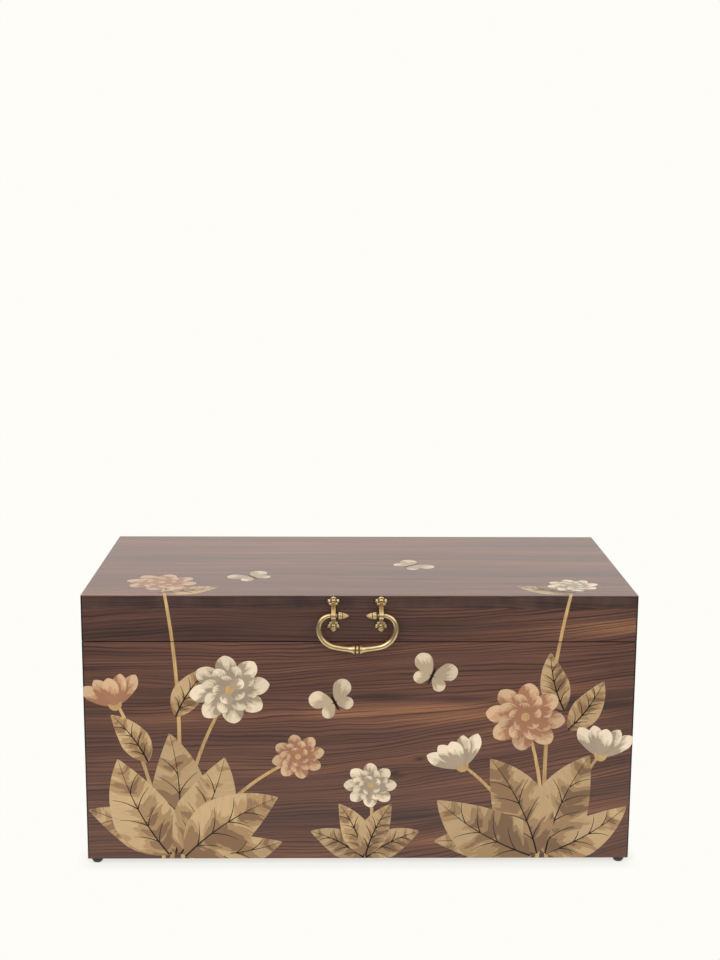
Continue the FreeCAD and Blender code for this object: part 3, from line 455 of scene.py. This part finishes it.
def brass(s, bright, dull, dark, rough):
    """Antique brass: bright on the high places, dark in the hollows, a little uneven all over."""
    point = object_mm(s)
    cloud = s.noise(point, 0.11, 3.0)
    speck = s.noise(point, 0.9)
    hollow = s.node("AmbientOcclusion", {"Distance": brass_nook_reach}, samples=8).outputs["AO"]
    worn = s.math("MULTIPLY_ADD", cloud, 0.75, s.math("MULTIPLY", speck, 0.25))
    colour = s.mix(s.span(worn, 0.38, 0.66), bright, dull)
    colour = s.mix(s.span(hollow, 0.35, 0.95, 0.92, 0.0), colour, dark)
    s.surface(Base_Color=colour, Metallic=1.0, Roughness=s.span(worn, 0.35, 0.65, rough, rough + 0.14),
              Normal=s.bump(speck, 0.03, 0.0002))


def steel(s, dark, light):
    """Plain steel wire, a little cloudy."""
    cloud = s.noise(object_mm(s), 0.5, 3.0)
    s.surface(Base_Color=s.mix(cloud, dark, light), Metallic=1.0,
              Roughness=s.span(cloud, 0.3, 0.7, 0.30, 0.45))


def moulded(s, dark, light, rough):
    """Black moulded plastic or felt with a fine uneven skin."""
    fine = s.noise(object_mm(s), 1.6, 3.0)
    s.surface(Base_Color=s.mix(s.span(fine, 0.35, 0.7), dark, light),
              Roughness=s.span(fine, 0.3, 0.7, rough, rough + 0.12), Normal=s.bump(fine, 0.15, 0.0004))


# The inlay's layout, as in the part. Sizes are in metres, turns in degrees, and places as drawn reads them.

leaf_lengths = {"tall_leaf": 0.212, "broad_leaf": 0.186, "long_leaf": 0.158, "small_leaf": 0.102}
leaf_widths = {"tall_leaf": 0.100, "broad_leaf": 0.098, "long_leaf": 0.066, "small_leaf": 0.048}
leaf_half_width_share = 0.56
leaf_place_shares = (
    ((-0.338, 0.02), 2, "tall_leaf"),
    ((-0.345, 0.02), 60, "long_leaf"),
    ((-0.315, 0.02), -82, "long_leaf"),
    ((-0.350, 0.02), 26, "broad_leaf"),
    ((-0.330, 0.02), -24, "broad_leaf"),
    ((-0.320, 0.01), -56, "broad_leaf"),
    ((-0.385, 0.45), 36, "small_leaf"),
    ((-0.334, 0.66), -34, "small_leaf"),
    ((0.345, 0.02), -58, "long_leaf"),
    ((0.312, 0.02), 82, "long_leaf"),
    ((0.345, 0.02), -22, "broad_leaf"),
    ((0.330, 0.02), 26, "broad_leaf"),
    ((0.318, 0.01), 58, "broad_leaf"),
    ((0.380, 0.60), -34, "small_leaf"),
    ((0.372, 0.69), 14, "small_leaf"),
    ((0.010, 0.00), 62, "small_leaf"),
    ((0.012, 0.00), -62, "small_leaf"),
    ((0.010, 0.01), 25, "small_leaf"),
    ((0.012, 0.01), -25, "small_leaf"),
    ((-0.362, 1.045), -68, "small_leaf"),
    ((0.390, 1.045), 64, "small_leaf"),
)
flower_reaches = {"large": 0.066, "middle": 0.060, "small": 0.044, "bell": 0.066, "wings": 0.044}
flower_place_shares = (
    ("large", (-0.236, 0.785)),
    ("middle", (-0.366, 1.197)),
    ("small", (-0.112, 0.477)),
    ("bell", (-0.441, 0.70)),
    ("large", (0.302, 0.66)),
    ("small", (0.393, 1.155)),
    ("bell", (0.191, 0.417)),
    ("bell", (0.441, 0.465)),
    ("small", (0.020, 0.344)),
    ("wings", (-0.045, 0.725)),
    ("wings", (0.130, 0.846)),
    ("wings", (0.10, 1.465)),
    ("wings", (-0.20, 1.279)),
)

# A flower's rings of petals: the share of its reach that each ends at, and the ring's own size

petal_rings = ((0.30, 0.0), (0.50, 0.45), (math.inf, 1.0))


def drawn(shares):
    """A place of the layout as a point of the flat drawing that runs up the front and over the top. The
    place is a share of the width from the middle, and a share up the box's front or, from 1 on, back
    over the top."""
    x, up = shares
    return Vector((x * width, up * front_height if up <= 1 else body_height + (up - 1) * depth))


def unrolled(point):
    """A point of the front or the top, on the drawing."""
    if point.z > lid_top - veneer / 2:
        return Vector((point.x, body_height + point.y - front_y))
    return Vector((point.x, point.z - body_bottom))


def rolled(at, on_top):
    """A point of the drawing, back on the trunk's top or front."""
    if on_top:
        return Vector((at.x, front_y + at.y - body_height, lid_top))
    return Vector((at.x, front_y, body_bottom + at.y))


def leaf_of(at):
    """The topmost leaf that a point of the drawing lies on: its foot, direction and length."""
    found = None
    for shares, turn, kind in leaf_place_shares:
        foot = drawn(shares)
        angle = math.radians(turn)
        axis = Vector((-math.sin(angle), math.cos(angle)))
        offset = at - foot
        along = offset.dot(axis) / leaf_lengths[kind]
        across = abs(offset.dot(Vector((axis.y, -axis.x)))) / leaf_widths[kind]
        if 0.0 < along < 1.0 and across < leaf_half_width_share * math.sin(math.pi * along ** 0.8):
            found = foot, axis, leaf_lengths[kind]
    return found or (at, Vector((0.0, 1.0)), leaf_lengths["small_leaf"])


def flower_of(at):
    """The nearest flower or butterfly: its foot and reach."""
    def distance(row):
        kind, shares = row
        return (at - drawn(shares)).length / flower_reaches[kind]

    kind, shares = min(flower_place_shares, key=distance)
    return drawn(shares), flower_reaches[kind]


def islands(mesh):
    """Groups of polygons that share vertices."""
    parent = list(range(len(mesh.vertices)))

    def root(i):
        while parent[i] != i:
            parent[i] = parent[parent[i]]
            i = parent[i]
        return i

    for polygon in mesh.polygons:
        first = root(polygon.vertices[0])
        for other in polygon.vertices[1:]:
            parent[root(other)] = first
    groups = {}
    for polygon in mesh.polygons:
        groups.setdefault(root(polygon.vertices[0]), []).append(polygon)
    return list(groups.values())


def piece_values(centre, motif):
    """What the inlaid piece round a centre carries: its vectors and its numbers."""
    on_top = centre.z > lid_top - veneer / 2
    at = unrolled(centre)
    ring = 1.0
    if motif == "leaf":
        foot, axis, reach = leaf_of(at)
        tone = random.Random(round(1000 * (foot.x + axis.x + axis.y))).random()
    else:
        foot, reach = flower_of(at)
        offset = at - foot
        axis = offset.normalized() if offset.length else Vector((0.0, 1.0))
        ring = next(size for end, size in petal_rings if offset.length / reach < end)
        tone = random.random()
    origin = rolled(Vector((0.0, 0.0)), on_top)
    vectors = {"foot": rolled(foot, on_top), "axis": rolled(axis, on_top) - origin,
               "side": rolled(Vector((axis.y, -axis.x)), on_top) - origin}
    return vectors, {"reach": reach, "tone": tone, "ring": ring}


def inlay_copy(node, motif):
    """A copy of an inlaid node whose every piece carries its own values."""
    mesh = nodes[node].data.copy()
    piece = bpy.data.objects.new(node + "_fitted", mesh)
    bpy.context.scene.collection.objects.link(piece)
    for name in ("foot", "axis", "side"):
        mesh.attributes.new(name, "FLOAT_VECTOR", "POINT")
    for name in ("reach", "tone", "ring"):
        mesh.attributes.new(name, "FLOAT", "POINT")
    for group in islands(mesh):
        area = sum(p.area for p in group)
        centre = sum((p.center * p.area for p in group), Vector()) / area if area else group[0].center
        vectors, numbers = piece_values(centre, motif)
        for vertex in {v for p in group for v in p.vertices}:
            for name, value in vectors.items():
                mesh.attributes[name].data[vertex].vector = value
            for name, value in numbers.items():
                mesh.attributes[name].data[vertex].value = value
    return piece


def dress(piece, material):
    piece.data.materials.clear()
    piece.data.materials.append(material)


# Grain directions: the numbers of the axes along, across and through the grain

front_grain = (0, 2, 1)
top_grain = (0, 1, 2)
side_grain = (1, 2, 0)
upright_grain = (2, 0, 1)


# Places in the front's and the lid's figure, in mm from the trunk's middle and the floor. The front's last
# two glows darken it towards its right and left ends.

front_flows = ((60.0, 160.0, 0.012, 0.100),)
front_fans = ((60.0, 90.0, 370.0, 0.0005),)
front_knots = ((99.0, 184.0, 8.0), (59.0, 157.0, 11.0))
front_glows = ((150.0, 262.0, 160.0, 25.0, 0.37), (37.0, 290.0, 60.0, 7.0, -0.50),
               (165.0, 287.0, 60.0, 6.0, -0.45), (355.0, 277.0, 110.0, 10.0, -0.34),
               (-50.0, 262.0, 60.0, 10.0, 0.22), (160.0, 40.0, 80.0, 9.0, 0.20),
               (60.0, 84.0, 130.0, 12.0, -0.20), (330.0, 365.0, 120.0, 12.0, 0.10),
               (425.0, 358.0, 70.0, 40.0, -0.09), (445.0, 225.0, 60.0, 105.0, -0.14),
               (-445.0, 255.0, 55.0, 130.0, -0.09))
lid_flows = ((240.0, 120.0, 0.006, 0.120),)
lid_glows = ((405.0, 412.0, 130.0, 19.0, 0.36), (250.0, 400.0, 90.0, 8.0, 0.10),
             (-190.0, 405.0, 260.0, 70.0, -0.09))
board_end = width / 2 * mm_per_metre
front_face = front_y * mm_per_metre
lid_tint = (0.80, 0.82, 0.88)


# Materials

front_wood = shaded("rosewood_front", dark_wood, front_grain, 3.0, flows=front_flows, fans=front_fans,
                    knots=front_knots, glows=front_glows, end=board_end, face=front_face)
lid_wood = shaded("rosewood_lid_front", dark_wood, front_grain, 41.0, lid_tint, flows=lid_flows,
                  glows=lid_glows, end=board_end, face=front_face)
edge_wood = shaded("rosewood_lid_edge", dark_wood, front_grain, 77.0, (0.50, 0.60, 0.74), end=board_end,
                   contrast=0.7, curl=0.65, face=front_face)
lid_board_wood = shaded("rosewood_lid_board", dark_wood, front_grain, 63.0, lid_tint, contrast=0.8)
# The top's tint lifts its wood above the front's: painted light for the light that the top catches
top_wood = shaded("rosewood_top", dark_wood, top_grain, 12.0, (1.25, 1.15, 1.10), contrast=1.1, gloss=0.5)
side_wood = shaded("rosewood_side", dark_wood, side_grain, 25.0)
lid_side_wood = shaded("rosewood_lid_side", dark_wood, side_grain, 58.0, (0.85, 0.86, 0.92))
back_wood = shaded("rosewood_back", dark_wood, front_grain, 91.0)
board_wood = shaded("inner_board", plain_wood, top_grain,
                    (0.30, 0.18, 0.10), (0.42, 0.27, 0.16), (0.20, 0.11, 0.06))
tongue_wood = shaded("inner_tongue", plain_wood, upright_grain,
                     (0.34, 0.21, 0.12), (0.45, 0.30, 0.18), (0.20, 0.12, 0.06))
handle_brass = shaded("handle_brass", brass,
                      (0.87, 0.66, 0.365), (0.72, 0.525, 0.275), (0.06, 0.035, 0.014), 0.25)
fitting_brass = shaded("fitting_brass", brass,
                       (0.78, 0.57, 0.25), (0.62, 0.44, 0.19), (0.16, 0.10, 0.04), 0.30)
nail_steel = shaded("nail_steel", steel, (0.35, 0.35, 0.36), (0.55, 0.55, 0.56))
foot_black = shaded("foot_black", moulded, (0.012, 0.012, 0.013), (0.024, 0.024, 0.026), 0.42)
bumper_felt = shaded("bumper_felt", moulded, (0.03, 0.025, 0.02), (0.055, 0.047, 0.038), 0.85)
gold_veneer = shaded("gold_veneer", streaked_veneer, (0.50, 0.325, 0.138), (0.35, 0.207, 0.080))
ebony = shaded("ebony", streaked_veneer, (0.024, 0.014, 0.010), (0.012, 0.008, 0.006), gloss=0.12)
light_leaf = shaded("light_leaf_veneer", leaf_wood,
                    (0.475, 0.328, 0.170), (0.360, 0.228, 0.104), (0.225, 0.125, 0.055))
dark_leaf = shaded("dark_leaf_veneer", leaf_wood,
                   (0.455, 0.310, 0.155), (0.310, 0.190, 0.085), (0.170, 0.090, 0.041))
cream = shaded("cream_veneer", petal_wood, (0.68, 0.56, 0.42), (0.54, 0.44, 0.31), (0.30, 0.235, 0.165))
peach = shaded("peach_veneer", petal_wood, (0.51, 0.335, 0.200), (0.42, 0.245, 0.135), (0.29, 0.130, 0.068))
wing = shaded("pale_veneer", petal_wood, (0.60, 0.49, 0.35), (0.52, 0.415, 0.29), (0.38, 0.29, 0.19))

inlay_woods = {
    "stem_inlays": ("flower", gold_veneer, "gold_veneer"),
    "light_leaf_inlays": ("leaf", light_leaf, "light_leaf_veneer"),
    "dark_leaf_inlays": ("leaf", dark_leaf, "dark_leaf_veneer"),
    "ebony_inlays": ("flower", ebony, "ebony"),
    "cream_petal_inlays": ("flower", cream, "cream_veneer"),
    "peach_petal_inlays": ("flower", peach, "peach_veneer"),
    "wing_inlays": ("flower", wing, "pale_veneer"),
}

material_of = {
    "box_front_veneer": front_wood, "lid_front_veneer": lid_wood, "lid_edge_veneer": edge_wood,
    "lid_top_veneer": top_wood, "front_panel": front_wood, "back_panel": back_wood,
    "left_side_panel": side_wood, "right_side_panel": side_wood, "lid_front_rail": lid_wood,
    "lid_back_rail": back_wood, "lid_left_rail": lid_side_wood, "lid_right_rail": lid_side_wood,
    "lid_board": lid_board_wood, "floor_board": board_wood, "floor_glue_blocks": board_wood,
    "box_corner_splines": tongue_wood, "lid_corner_splines": tongue_wood,
    "rim_bumpers": bumper_felt, "foot_nails": nail_steel,
}


def dress_nodes():
    for name, node in nodes.items():
        kind = next((key for key in inlay_woods if name.endswith(key)), None)
        body = node["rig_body"]
        if kind:
            motif, material, slot = inlay_woods[kind]
            piece = inlay_copy(name, motif)
            dress(piece, material)
            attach(piece, body)
            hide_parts(name)
        elif name in material_of:
            dress(node, material_of[name])
        elif name.endswith("_foot"):
            dress(node, foot_black)
        elif body == "handle" or "handle" in name:
            dress(node, handle_brass)
        else:
            dress(node, fitting_brass)


# Handle. Its turned and cast pieces are finer than the solids, at the same sizes, in metres.

bail_half_width = 0.0625
bail_upper_radius = 0.0202
bail_lower_radius = 0.033
bail_drop = 0.0563
bail_wire_radius = 0.0045
bail_neck_radius = 0.0034
bail_sides = 40
bail_steps = 60
neck_end = bail_half_width - bail_upper_radius
neck_start = 0.0347
bracket_offset = 0.0385
bracket_plate = 0.0026
handle_pivot = Vector(next(j for j in frame["joints"] if j["name"] == "handle_swing")["pos_m"])

# The collar's profile from the grip's middle outwards, as (distance, radius), and the flare beside it

collar_steps = ((0.0, 0.0070), (0.0015, 0.0070), (0.0020, 0.0065), (0.0020, 0.0046), (0.0043, 0.0046),
                (0.0043, 0.0072), (0.0047, 0.0077), (0.0053, 0.0077))
flare_length = 0.0125
flare_steps = 12
flare_power = 2.2

# A finial's profile from the neck to the tip, as (distance, radius), and its two rows of petals

finial_steps = ((0.0, 0.0029), (0.0004, 0.0034), (0.0011, 0.0036), (0.0018, 0.0034), (0.0022, 0.0024),
                (0.0030, 0.0022), (0.0034, 0.0036), (0.0040, 0.0050), (0.0052, 0.0057), (0.0070, 0.0058),
                (0.0088, 0.0056), (0.0102, 0.0050), (0.0109, 0.0043), (0.0113, 0.0051), (0.0128, 0.0049),
                (0.0150, 0.0041), (0.0175, 0.0029), (0.0198, 0.0015), (0.0213, 0.0004))
finial_length = finial_steps[-1][0]
finial_sides = 72
petals_start = 0.0033
second_row_start = 0.0112
fold_depth = 0.30
fold_fade = 0.006
petals_in_row = 6

# A bracket's two shields: up or down, the screw's distance from the pivot, the point's from the screw

shields = ((1, 0.0212, 0.0072), (-1, 0.0206, 0.0094))

# A shield's petals, as cast_petal takes them, from root to widest

point_petal_root = 0.0036
point_petal_form = (0.0104, 0.0014, 0.5)
side_petals = (((118, 0.0050), (70, 0.0093), 0.0046, 0.0010, 0.0),
               ((158, 0.0052), (122, 0.0086), 0.0042, 0.0007, 0.0))
petal_rows = 15
petal_half_columns = 5
petal_sink = 0.9 * bracket_plate


def ringed(name, rings, sharp=38.0):
    """A closed mesh through rings of points, smooth up to an angle."""
    count = len(rings[0])
    shape = bmesh.new()
    loops = [[shape.verts.new(point) for point in ring] for ring in rings]
    for one, two in zip(loops, loops[1:]):
        for j in range(count):
            k = (j + 1) % count
            shape.faces.new((one[j], one[k], two[k], two[j]))
    shape.faces.new(loops[0])
    shape.faces.new(loops[-1])
    bmesh.ops.recalc_face_normals(shape, faces=shape.faces)
    mesh = bpy.data.meshes.new(name)
    shape.to_mesh(mesh)
    shape.free()
    mesh.polygons.foreach_set("use_smooth", [True] * len(mesh.polygons))
    mesh.set_sharp_from_angle(angle=math.radians(sharp))
    piece = bpy.data.objects.new(name, mesh)
    bpy.context.scene.collection.objects.link(piece)
    return piece


def bail_path(along):
    """A point of the right half of the bail and its direction, as (x, z) pairs from the pivot, then the
    wire's radius and the half's whole length. Along is the distance from the neck."""
    rise = bail_drop - bail_upper_radius
    dx = bail_half_width - bail_lower_radius
    base_radius = (dx ** 2 + rise ** 2 - bail_lower_radius ** 2) / (2 * (rise - bail_lower_radius))
    joint = math.atan2(dx, base_radius - rise)
    upper = bail_upper_radius * math.pi / 2
    lower = bail_lower_radius * (math.pi / 2 - joint)
    if along <= upper:
        angle, radius = math.pi / 2 - along / bail_upper_radius, bail_upper_radius
        centre = (neck_end, -bail_upper_radius)
    elif along <= upper + lower:
        angle, radius = -(along - upper) / bail_lower_radius, bail_lower_radius
        centre = (dx, -bail_upper_radius)
    else:
        angle = -math.pi / 2 + joint - (along - upper - lower) / base_radius
        radius, centre = base_radius, (0.0, base_radius - bail_drop)
    point = (centre[0] + radius * math.cos(angle), centre[1] + radius * math.sin(angle))
    swell = math.sin(min(1.0, along / upper) * math.pi / 2) ** 2
    wire = bail_neck_radius + (bail_wire_radius - bail_neck_radius) * swell
    return point, (math.sin(angle), -math.cos(angle)), wire, upper + lower + base_radius * joint


def bail_stations(whole):
    """Distances from the grip's middle to the neck, each with its radius, or None for plain wire."""
    flare_start, flare_radius = collar_steps[-1]
    stations = list(collar_steps)
    for k in range(1, flare_steps + 1):
        share = k / flare_steps
        stations.append((flare_start + share * flare_length,
                         bail_wire_radius + (flare_radius - bail_wire_radius) * (1 - share) ** flare_power))
    flare_end = stations[-1][0]
    return stations + [(flare_end + (whole - flare_end) * k / bail_steps, None)
                       for k in range(1, bail_steps + 1)]


def bail_piece():
    """The bail from end to end, round wire with a flared collar in the middle of the grip."""
    whole = bail_path(0.0)[3]
    half = []
    for distance, radius in bail_stations(whole):
        point, direction, wire, _ = bail_path(whole - distance)
        half.append((point, direction, radius or wire))
    half.append(((neck_start, 0.0), (1.0, 0.0), bail_neck_radius))
    right = [(x, z, -tx, -tz, radius) for (x, z), (tx, tz), radius in half]
    left = [(-x, z, -tx, tz, radius) for (x, z), (tx, tz), radius in reversed(half[1:])]
    rings = []
    for x, z, tx, tz, radius in left + right:
        centre = handle_pivot + Vector((x, 0.0, z))
        across = Vector((-tz, 0.0, tx)).normalized()
        rings.append([centre + radius * (math.cos(a) * across + math.sin(a) * Vector((0.0, 1.0, 0.0)))
                      for a in (math.tau * k / bail_sides for k in range(bail_sides))])
    piece = ringed("bail_round", rings)
    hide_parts("handle_bail")
    return piece


def finial_piece(side, node):
    """A bud in two rows of petals with a bead at its neck, pointing towards the middle."""
    rings = []
    for distance, radius in finial_steps:
        row = 0.0 if distance < second_row_start else 0.5
        fade = min(1.0, (finial_length - distance) / fold_fade)
        depth = 0.0 if distance < petals_start else fold_depth * fade
        ring = []
        for k in range(finial_sides):
            angle = math.tau * k / finial_sides
            fold = abs(math.sin(petals_in_row / 2 * angle + math.pi * row)) ** 0.55
            reach = radius * (1 - depth * (1 - fold))
            ring.append(handle_pivot + Vector((side * (neck_start - distance), reach * math.cos(angle),
                                               reach * math.sin(angle))))
        rings.append(ring)
    piece = ringed("bud_" + node, rings, 50.0)
    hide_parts(node)
    return piece


def cast_petal(name, centre, up, root, tip, breadth, height, widest):
    """A pointed petal in low relief with a ridge, on a bracket's shield. Root and tip are the ends of its
    spine, each as an angle from straight up and a distance from the screw. Widest is 0.5 for a petal that
    is widest at its root and 0 for one that is widest half-way."""
    def spine(share):
        angle = math.radians(root[0] + (tip[0] - root[0]) * share)
        distance = root[1] + (tip[1] - root[1]) * share
        return centre + Vector((distance * math.sin(angle), 0.0, up * distance * math.cos(angle)))

    shares = [v / petal_half_columns for v in range(-petal_half_columns, petal_half_columns + 1)]
    rings = []
    for k in range(petal_rows):
        t = 0.02 + 0.95 * k / (petal_rows - 1)
        ahead = (spine(t + 0.01) - spine(t - 0.01)).normalized()
        half = breadth / 2 * math.sin(math.pi * (widest + (1 - widest) * t)) ** 0.75
        wide = ahead.cross(Vector((0.0, 1.0, 0.0))) * half
        crown = height * (0.25 + 0.75 * math.sin(math.pi * t))
        top = [spine(t) + wide * v + Vector((0.0, -crown * (1 - abs(v) ** 1.4), 0.0)) for v in shares]
        base = [spine(t) + wide * v + Vector((0.0, petal_sink, 0.0)) for v in reversed(shares)]
        rings.append(top + base)
    return ringed(name, rings, 60.0)


def shield_petals(point_reach):
    """The five petals of a shield whose point lies at a distance from the screw."""
    petals = [((0.0, point_petal_root), (0.0, point_reach), *point_petal_form)]
    for turn in (-1, 1):
        for (root_angle, root), (tip_angle, tip), *form in side_petals:
            petals.append(((turn * root_angle, root), (turn * tip_angle, tip), *form))
    return petals


def dress_handle():
    pieces = [bail_piece(), finial_piece(1, "right_bail_finial"), finial_piece(-1, "left_bail_finial")]
    for piece in pieces:
        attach(piece, "handle")
    for side, hand in ((-1, "left"), (1, "right")):
        for up, screw_distance, point_reach in shields:
            centre = Vector((handle_pivot.x + side * bracket_offset, front_y - bracket_plate,
                             handle_pivot.z + up * screw_distance))
            level = "upper" if up > 0 else "lower"
            for form in shield_petals(point_reach):
                petal = cast_petal(f"{hand}_{level}_petal_{len(pieces)}", centre, up, *form)
                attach(petal, "lid")
                pieces.append(petal)
    for piece in pieces:
        dress(piece, handle_brass)


# Stage. The lamps are (name, place, height aimed at, size, power), and a spot is (place, strength).

backdrop = (0.991, 0.983, 0.939)
floor_colour = (0.95, 0.942, 0.90)
floor_half_size = 60.0
shadow_reach = 0.024
shadow_share = 0.29
key_place = (-1.7, -2.4, 2.2)
fill_place = (2.0, -2.2, 1.5)
crown_place = (0.0, 0.5, 2.8)
lamps = (("key", key_place, 0.25, (2.4, 2.2), 60), ("fill", fill_place, 0.25, (2.0, 2.0), 34),
         ("crown", crown_place, 0.3, (2.6, 1.4), 30))
lamp_colour = (1.0, 0.98, 0.95)
spots = ((key_place, 2.0), (fill_place, 1.5))
spot_angles = (14, 24)
world_colour = (1.0, 0.985, 0.96)
world_strength = 0.50
studio_glow = (0.26, 0.92)


def floor_surface(s):
    """Matt floor that takes the object's shadow beside it and turns into the plain backdrop farther off.
    Gloss sees it as pale near the object and darker farther off."""
    x, y, _ = s.parts(s.node("NewGeometry").outputs["Position"])
    beside = [s.math("MAXIMUM", s.math("SUBTRACT", s.math("ABSOLUTE", value), half), 0.0)
              for value, half in ((x, width / 2), (y, depth / 2))]
    distance = s.vector("LENGTH", s.joined(*beside, 0.0))
    near = s.span(distance, 0.0, shadow_reach, 1.0, 0.0)
    far_glow = s.span(distance, 0.15, 0.9, 1.0, 0.22)
    path = s.node("LightPath").outputs
    matt = s.node("BsdfDiffuse", {"Color": floor_colour}).outputs[0]
    shown = s.node("Emission", {"Color": backdrop, "Strength": 1.0}).outputs[0]
    mirrored = s.node("Emission", {"Color": backdrop, "Strength": far_glow}).outputs[0]
    camera_view = s.switched(s.math("MULTIPLY", near, shadow_share), shown, matt)
    other_rays = s.switched(path["Is Glossy Ray"], matt, mirrored)
    whole = s.switched(path["Is Camera Ray"], other_rays, camera_view)
    s.put(s.node("OutputMaterial").inputs["Surface"], whole)


def sky_spot(s, direction, aim, strength):
    """A round soft light in the sky, full within one angle from its aim and gone past the other."""
    narrow, wide = (math.cos(math.radians(angle)) for angle in spot_angles)
    nearness = s.vector("DOT_PRODUCT", direction, tuple(Vector(aim).normalized()))
    return s.span(nearness, wide, narrow, 0.0, strength)


def world_surface(s):
    """Plain soft light. The camera sees the backdrop, and gloss sees a pale studio, darker in front,
    with the two front lamps as softer spots."""
    direction = s.node("TexCoord").outputs["Generated"]
    x, y, z = s.parts(direction)
    pale = s.math("MAXIMUM", s.span(y, -0.10, 0.30), s.span(z, 0.30, 0.65))
    sides = s.span(s.math("ABSOLUTE", x), 0.70, 0.92, 1.0, 0.55)
    glow = s.math("MULTIPLY", sides, s.span(pale, 0.0, 1.0, *studio_glow))
    for aim, strength in spots:
        glow = s.math("ADD", glow, sky_spot(s, direction, aim, strength))
    path = s.node("LightPath").outputs
    lit = s.node("Background", {"Color": world_colour, "Strength": world_strength}).outputs[0]
    shown = s.node("Background", {"Color": backdrop, "Strength": 1.0}).outputs[0]
    mirrored = s.node("Background", {"Color": backdrop, "Strength": glow}).outputs[0]
    other_rays = s.switched(path["Is Glossy Ray"], lit, mirrored)
    whole = s.switched(path["Is Camera Ray"], other_rays, shown)
    s.put(s.node("OutputWorld").inputs["Surface"], whole)


def stage():
    mesh = bpy.data.meshes.new("studio_floor")
    half = floor_half_size
    corners = [(-half, -half, 0), (half, -half, 0), (half, half, 0), (-half, half, 0)]
    mesh.from_pydata(corners, [], [(0, 1, 2, 3)])
    floor = bpy.data.objects.new("studio_floor", mesh)
    bpy.context.scene.collection.objects.link(floor)
    mesh.materials.append(shaded("studio_floor", floor_surface))
    world = bpy.data.worlds.new("studio_world")
    bpy.context.scene.world = world
    world.use_nodes = True
    world_surface(Shade(world.node_tree))


def softbox(name, at, aim_height, size, power):
    """A soft rectangular lamp aimed at the trunk. Gloss doesn't see it, and sees the world's spots."""
    lamp = bpy.data.lights.new(name, "AREA")
    lamp.shape = "RECTANGLE"
    lamp.size, lamp.size_y = size
    lamp.energy = power
    lamp.color = lamp_colour
    made = bpy.data.objects.new(name, lamp)
    bpy.context.scene.collection.objects.link(made)
    made.location = at
    aim = Vector((0.0, 0.0, aim_height)) - Vector(at)
    made.rotation_euler = aim.to_track_quat("-Z", "Y").to_euler()
    made.visible_glossy = False


# Camera: its place from the bottom of the front's middle, in metres, and its turns in degrees

camera_place = (-0.0446, -2.2419, 1.0495)
camera_yaw = -1.09
camera_pitch = -10.34
camera_roll = 0.35
camera_lens = 53.88
camera_sensor = 36.0


def camera():
    """The photograph's view, solved from the trunk's visible corners."""
    lens = bpy.data.cameras.new("photo_camera")
    lens.lens = camera_lens
    lens.sensor_width = camera_sensor
    made = bpy.data.objects.new("photo_camera", lens)
    bpy.context.scene.collection.objects.link(made)
    turns = ((camera_yaw, "Z"), (90 + camera_pitch, "X"), (camera_roll, "Z"))
    turn = Matrix.Identity(4)
    for angle, axis in turns:
        turn = turn @ Matrix.Rotation(math.radians(angle), 4, axis)
    x, y, z = camera_place
    made.matrix_world = Matrix.Translation((x, front_y + y, body_bottom + z)) @ turn
    bpy.context.scene.camera = made


dress_nodes()
dress_handle()
stage()
for settings in lamps:
    softbox(*settings)
camera()
bpy.context.scene.view_settings.view_transform = "Standard"
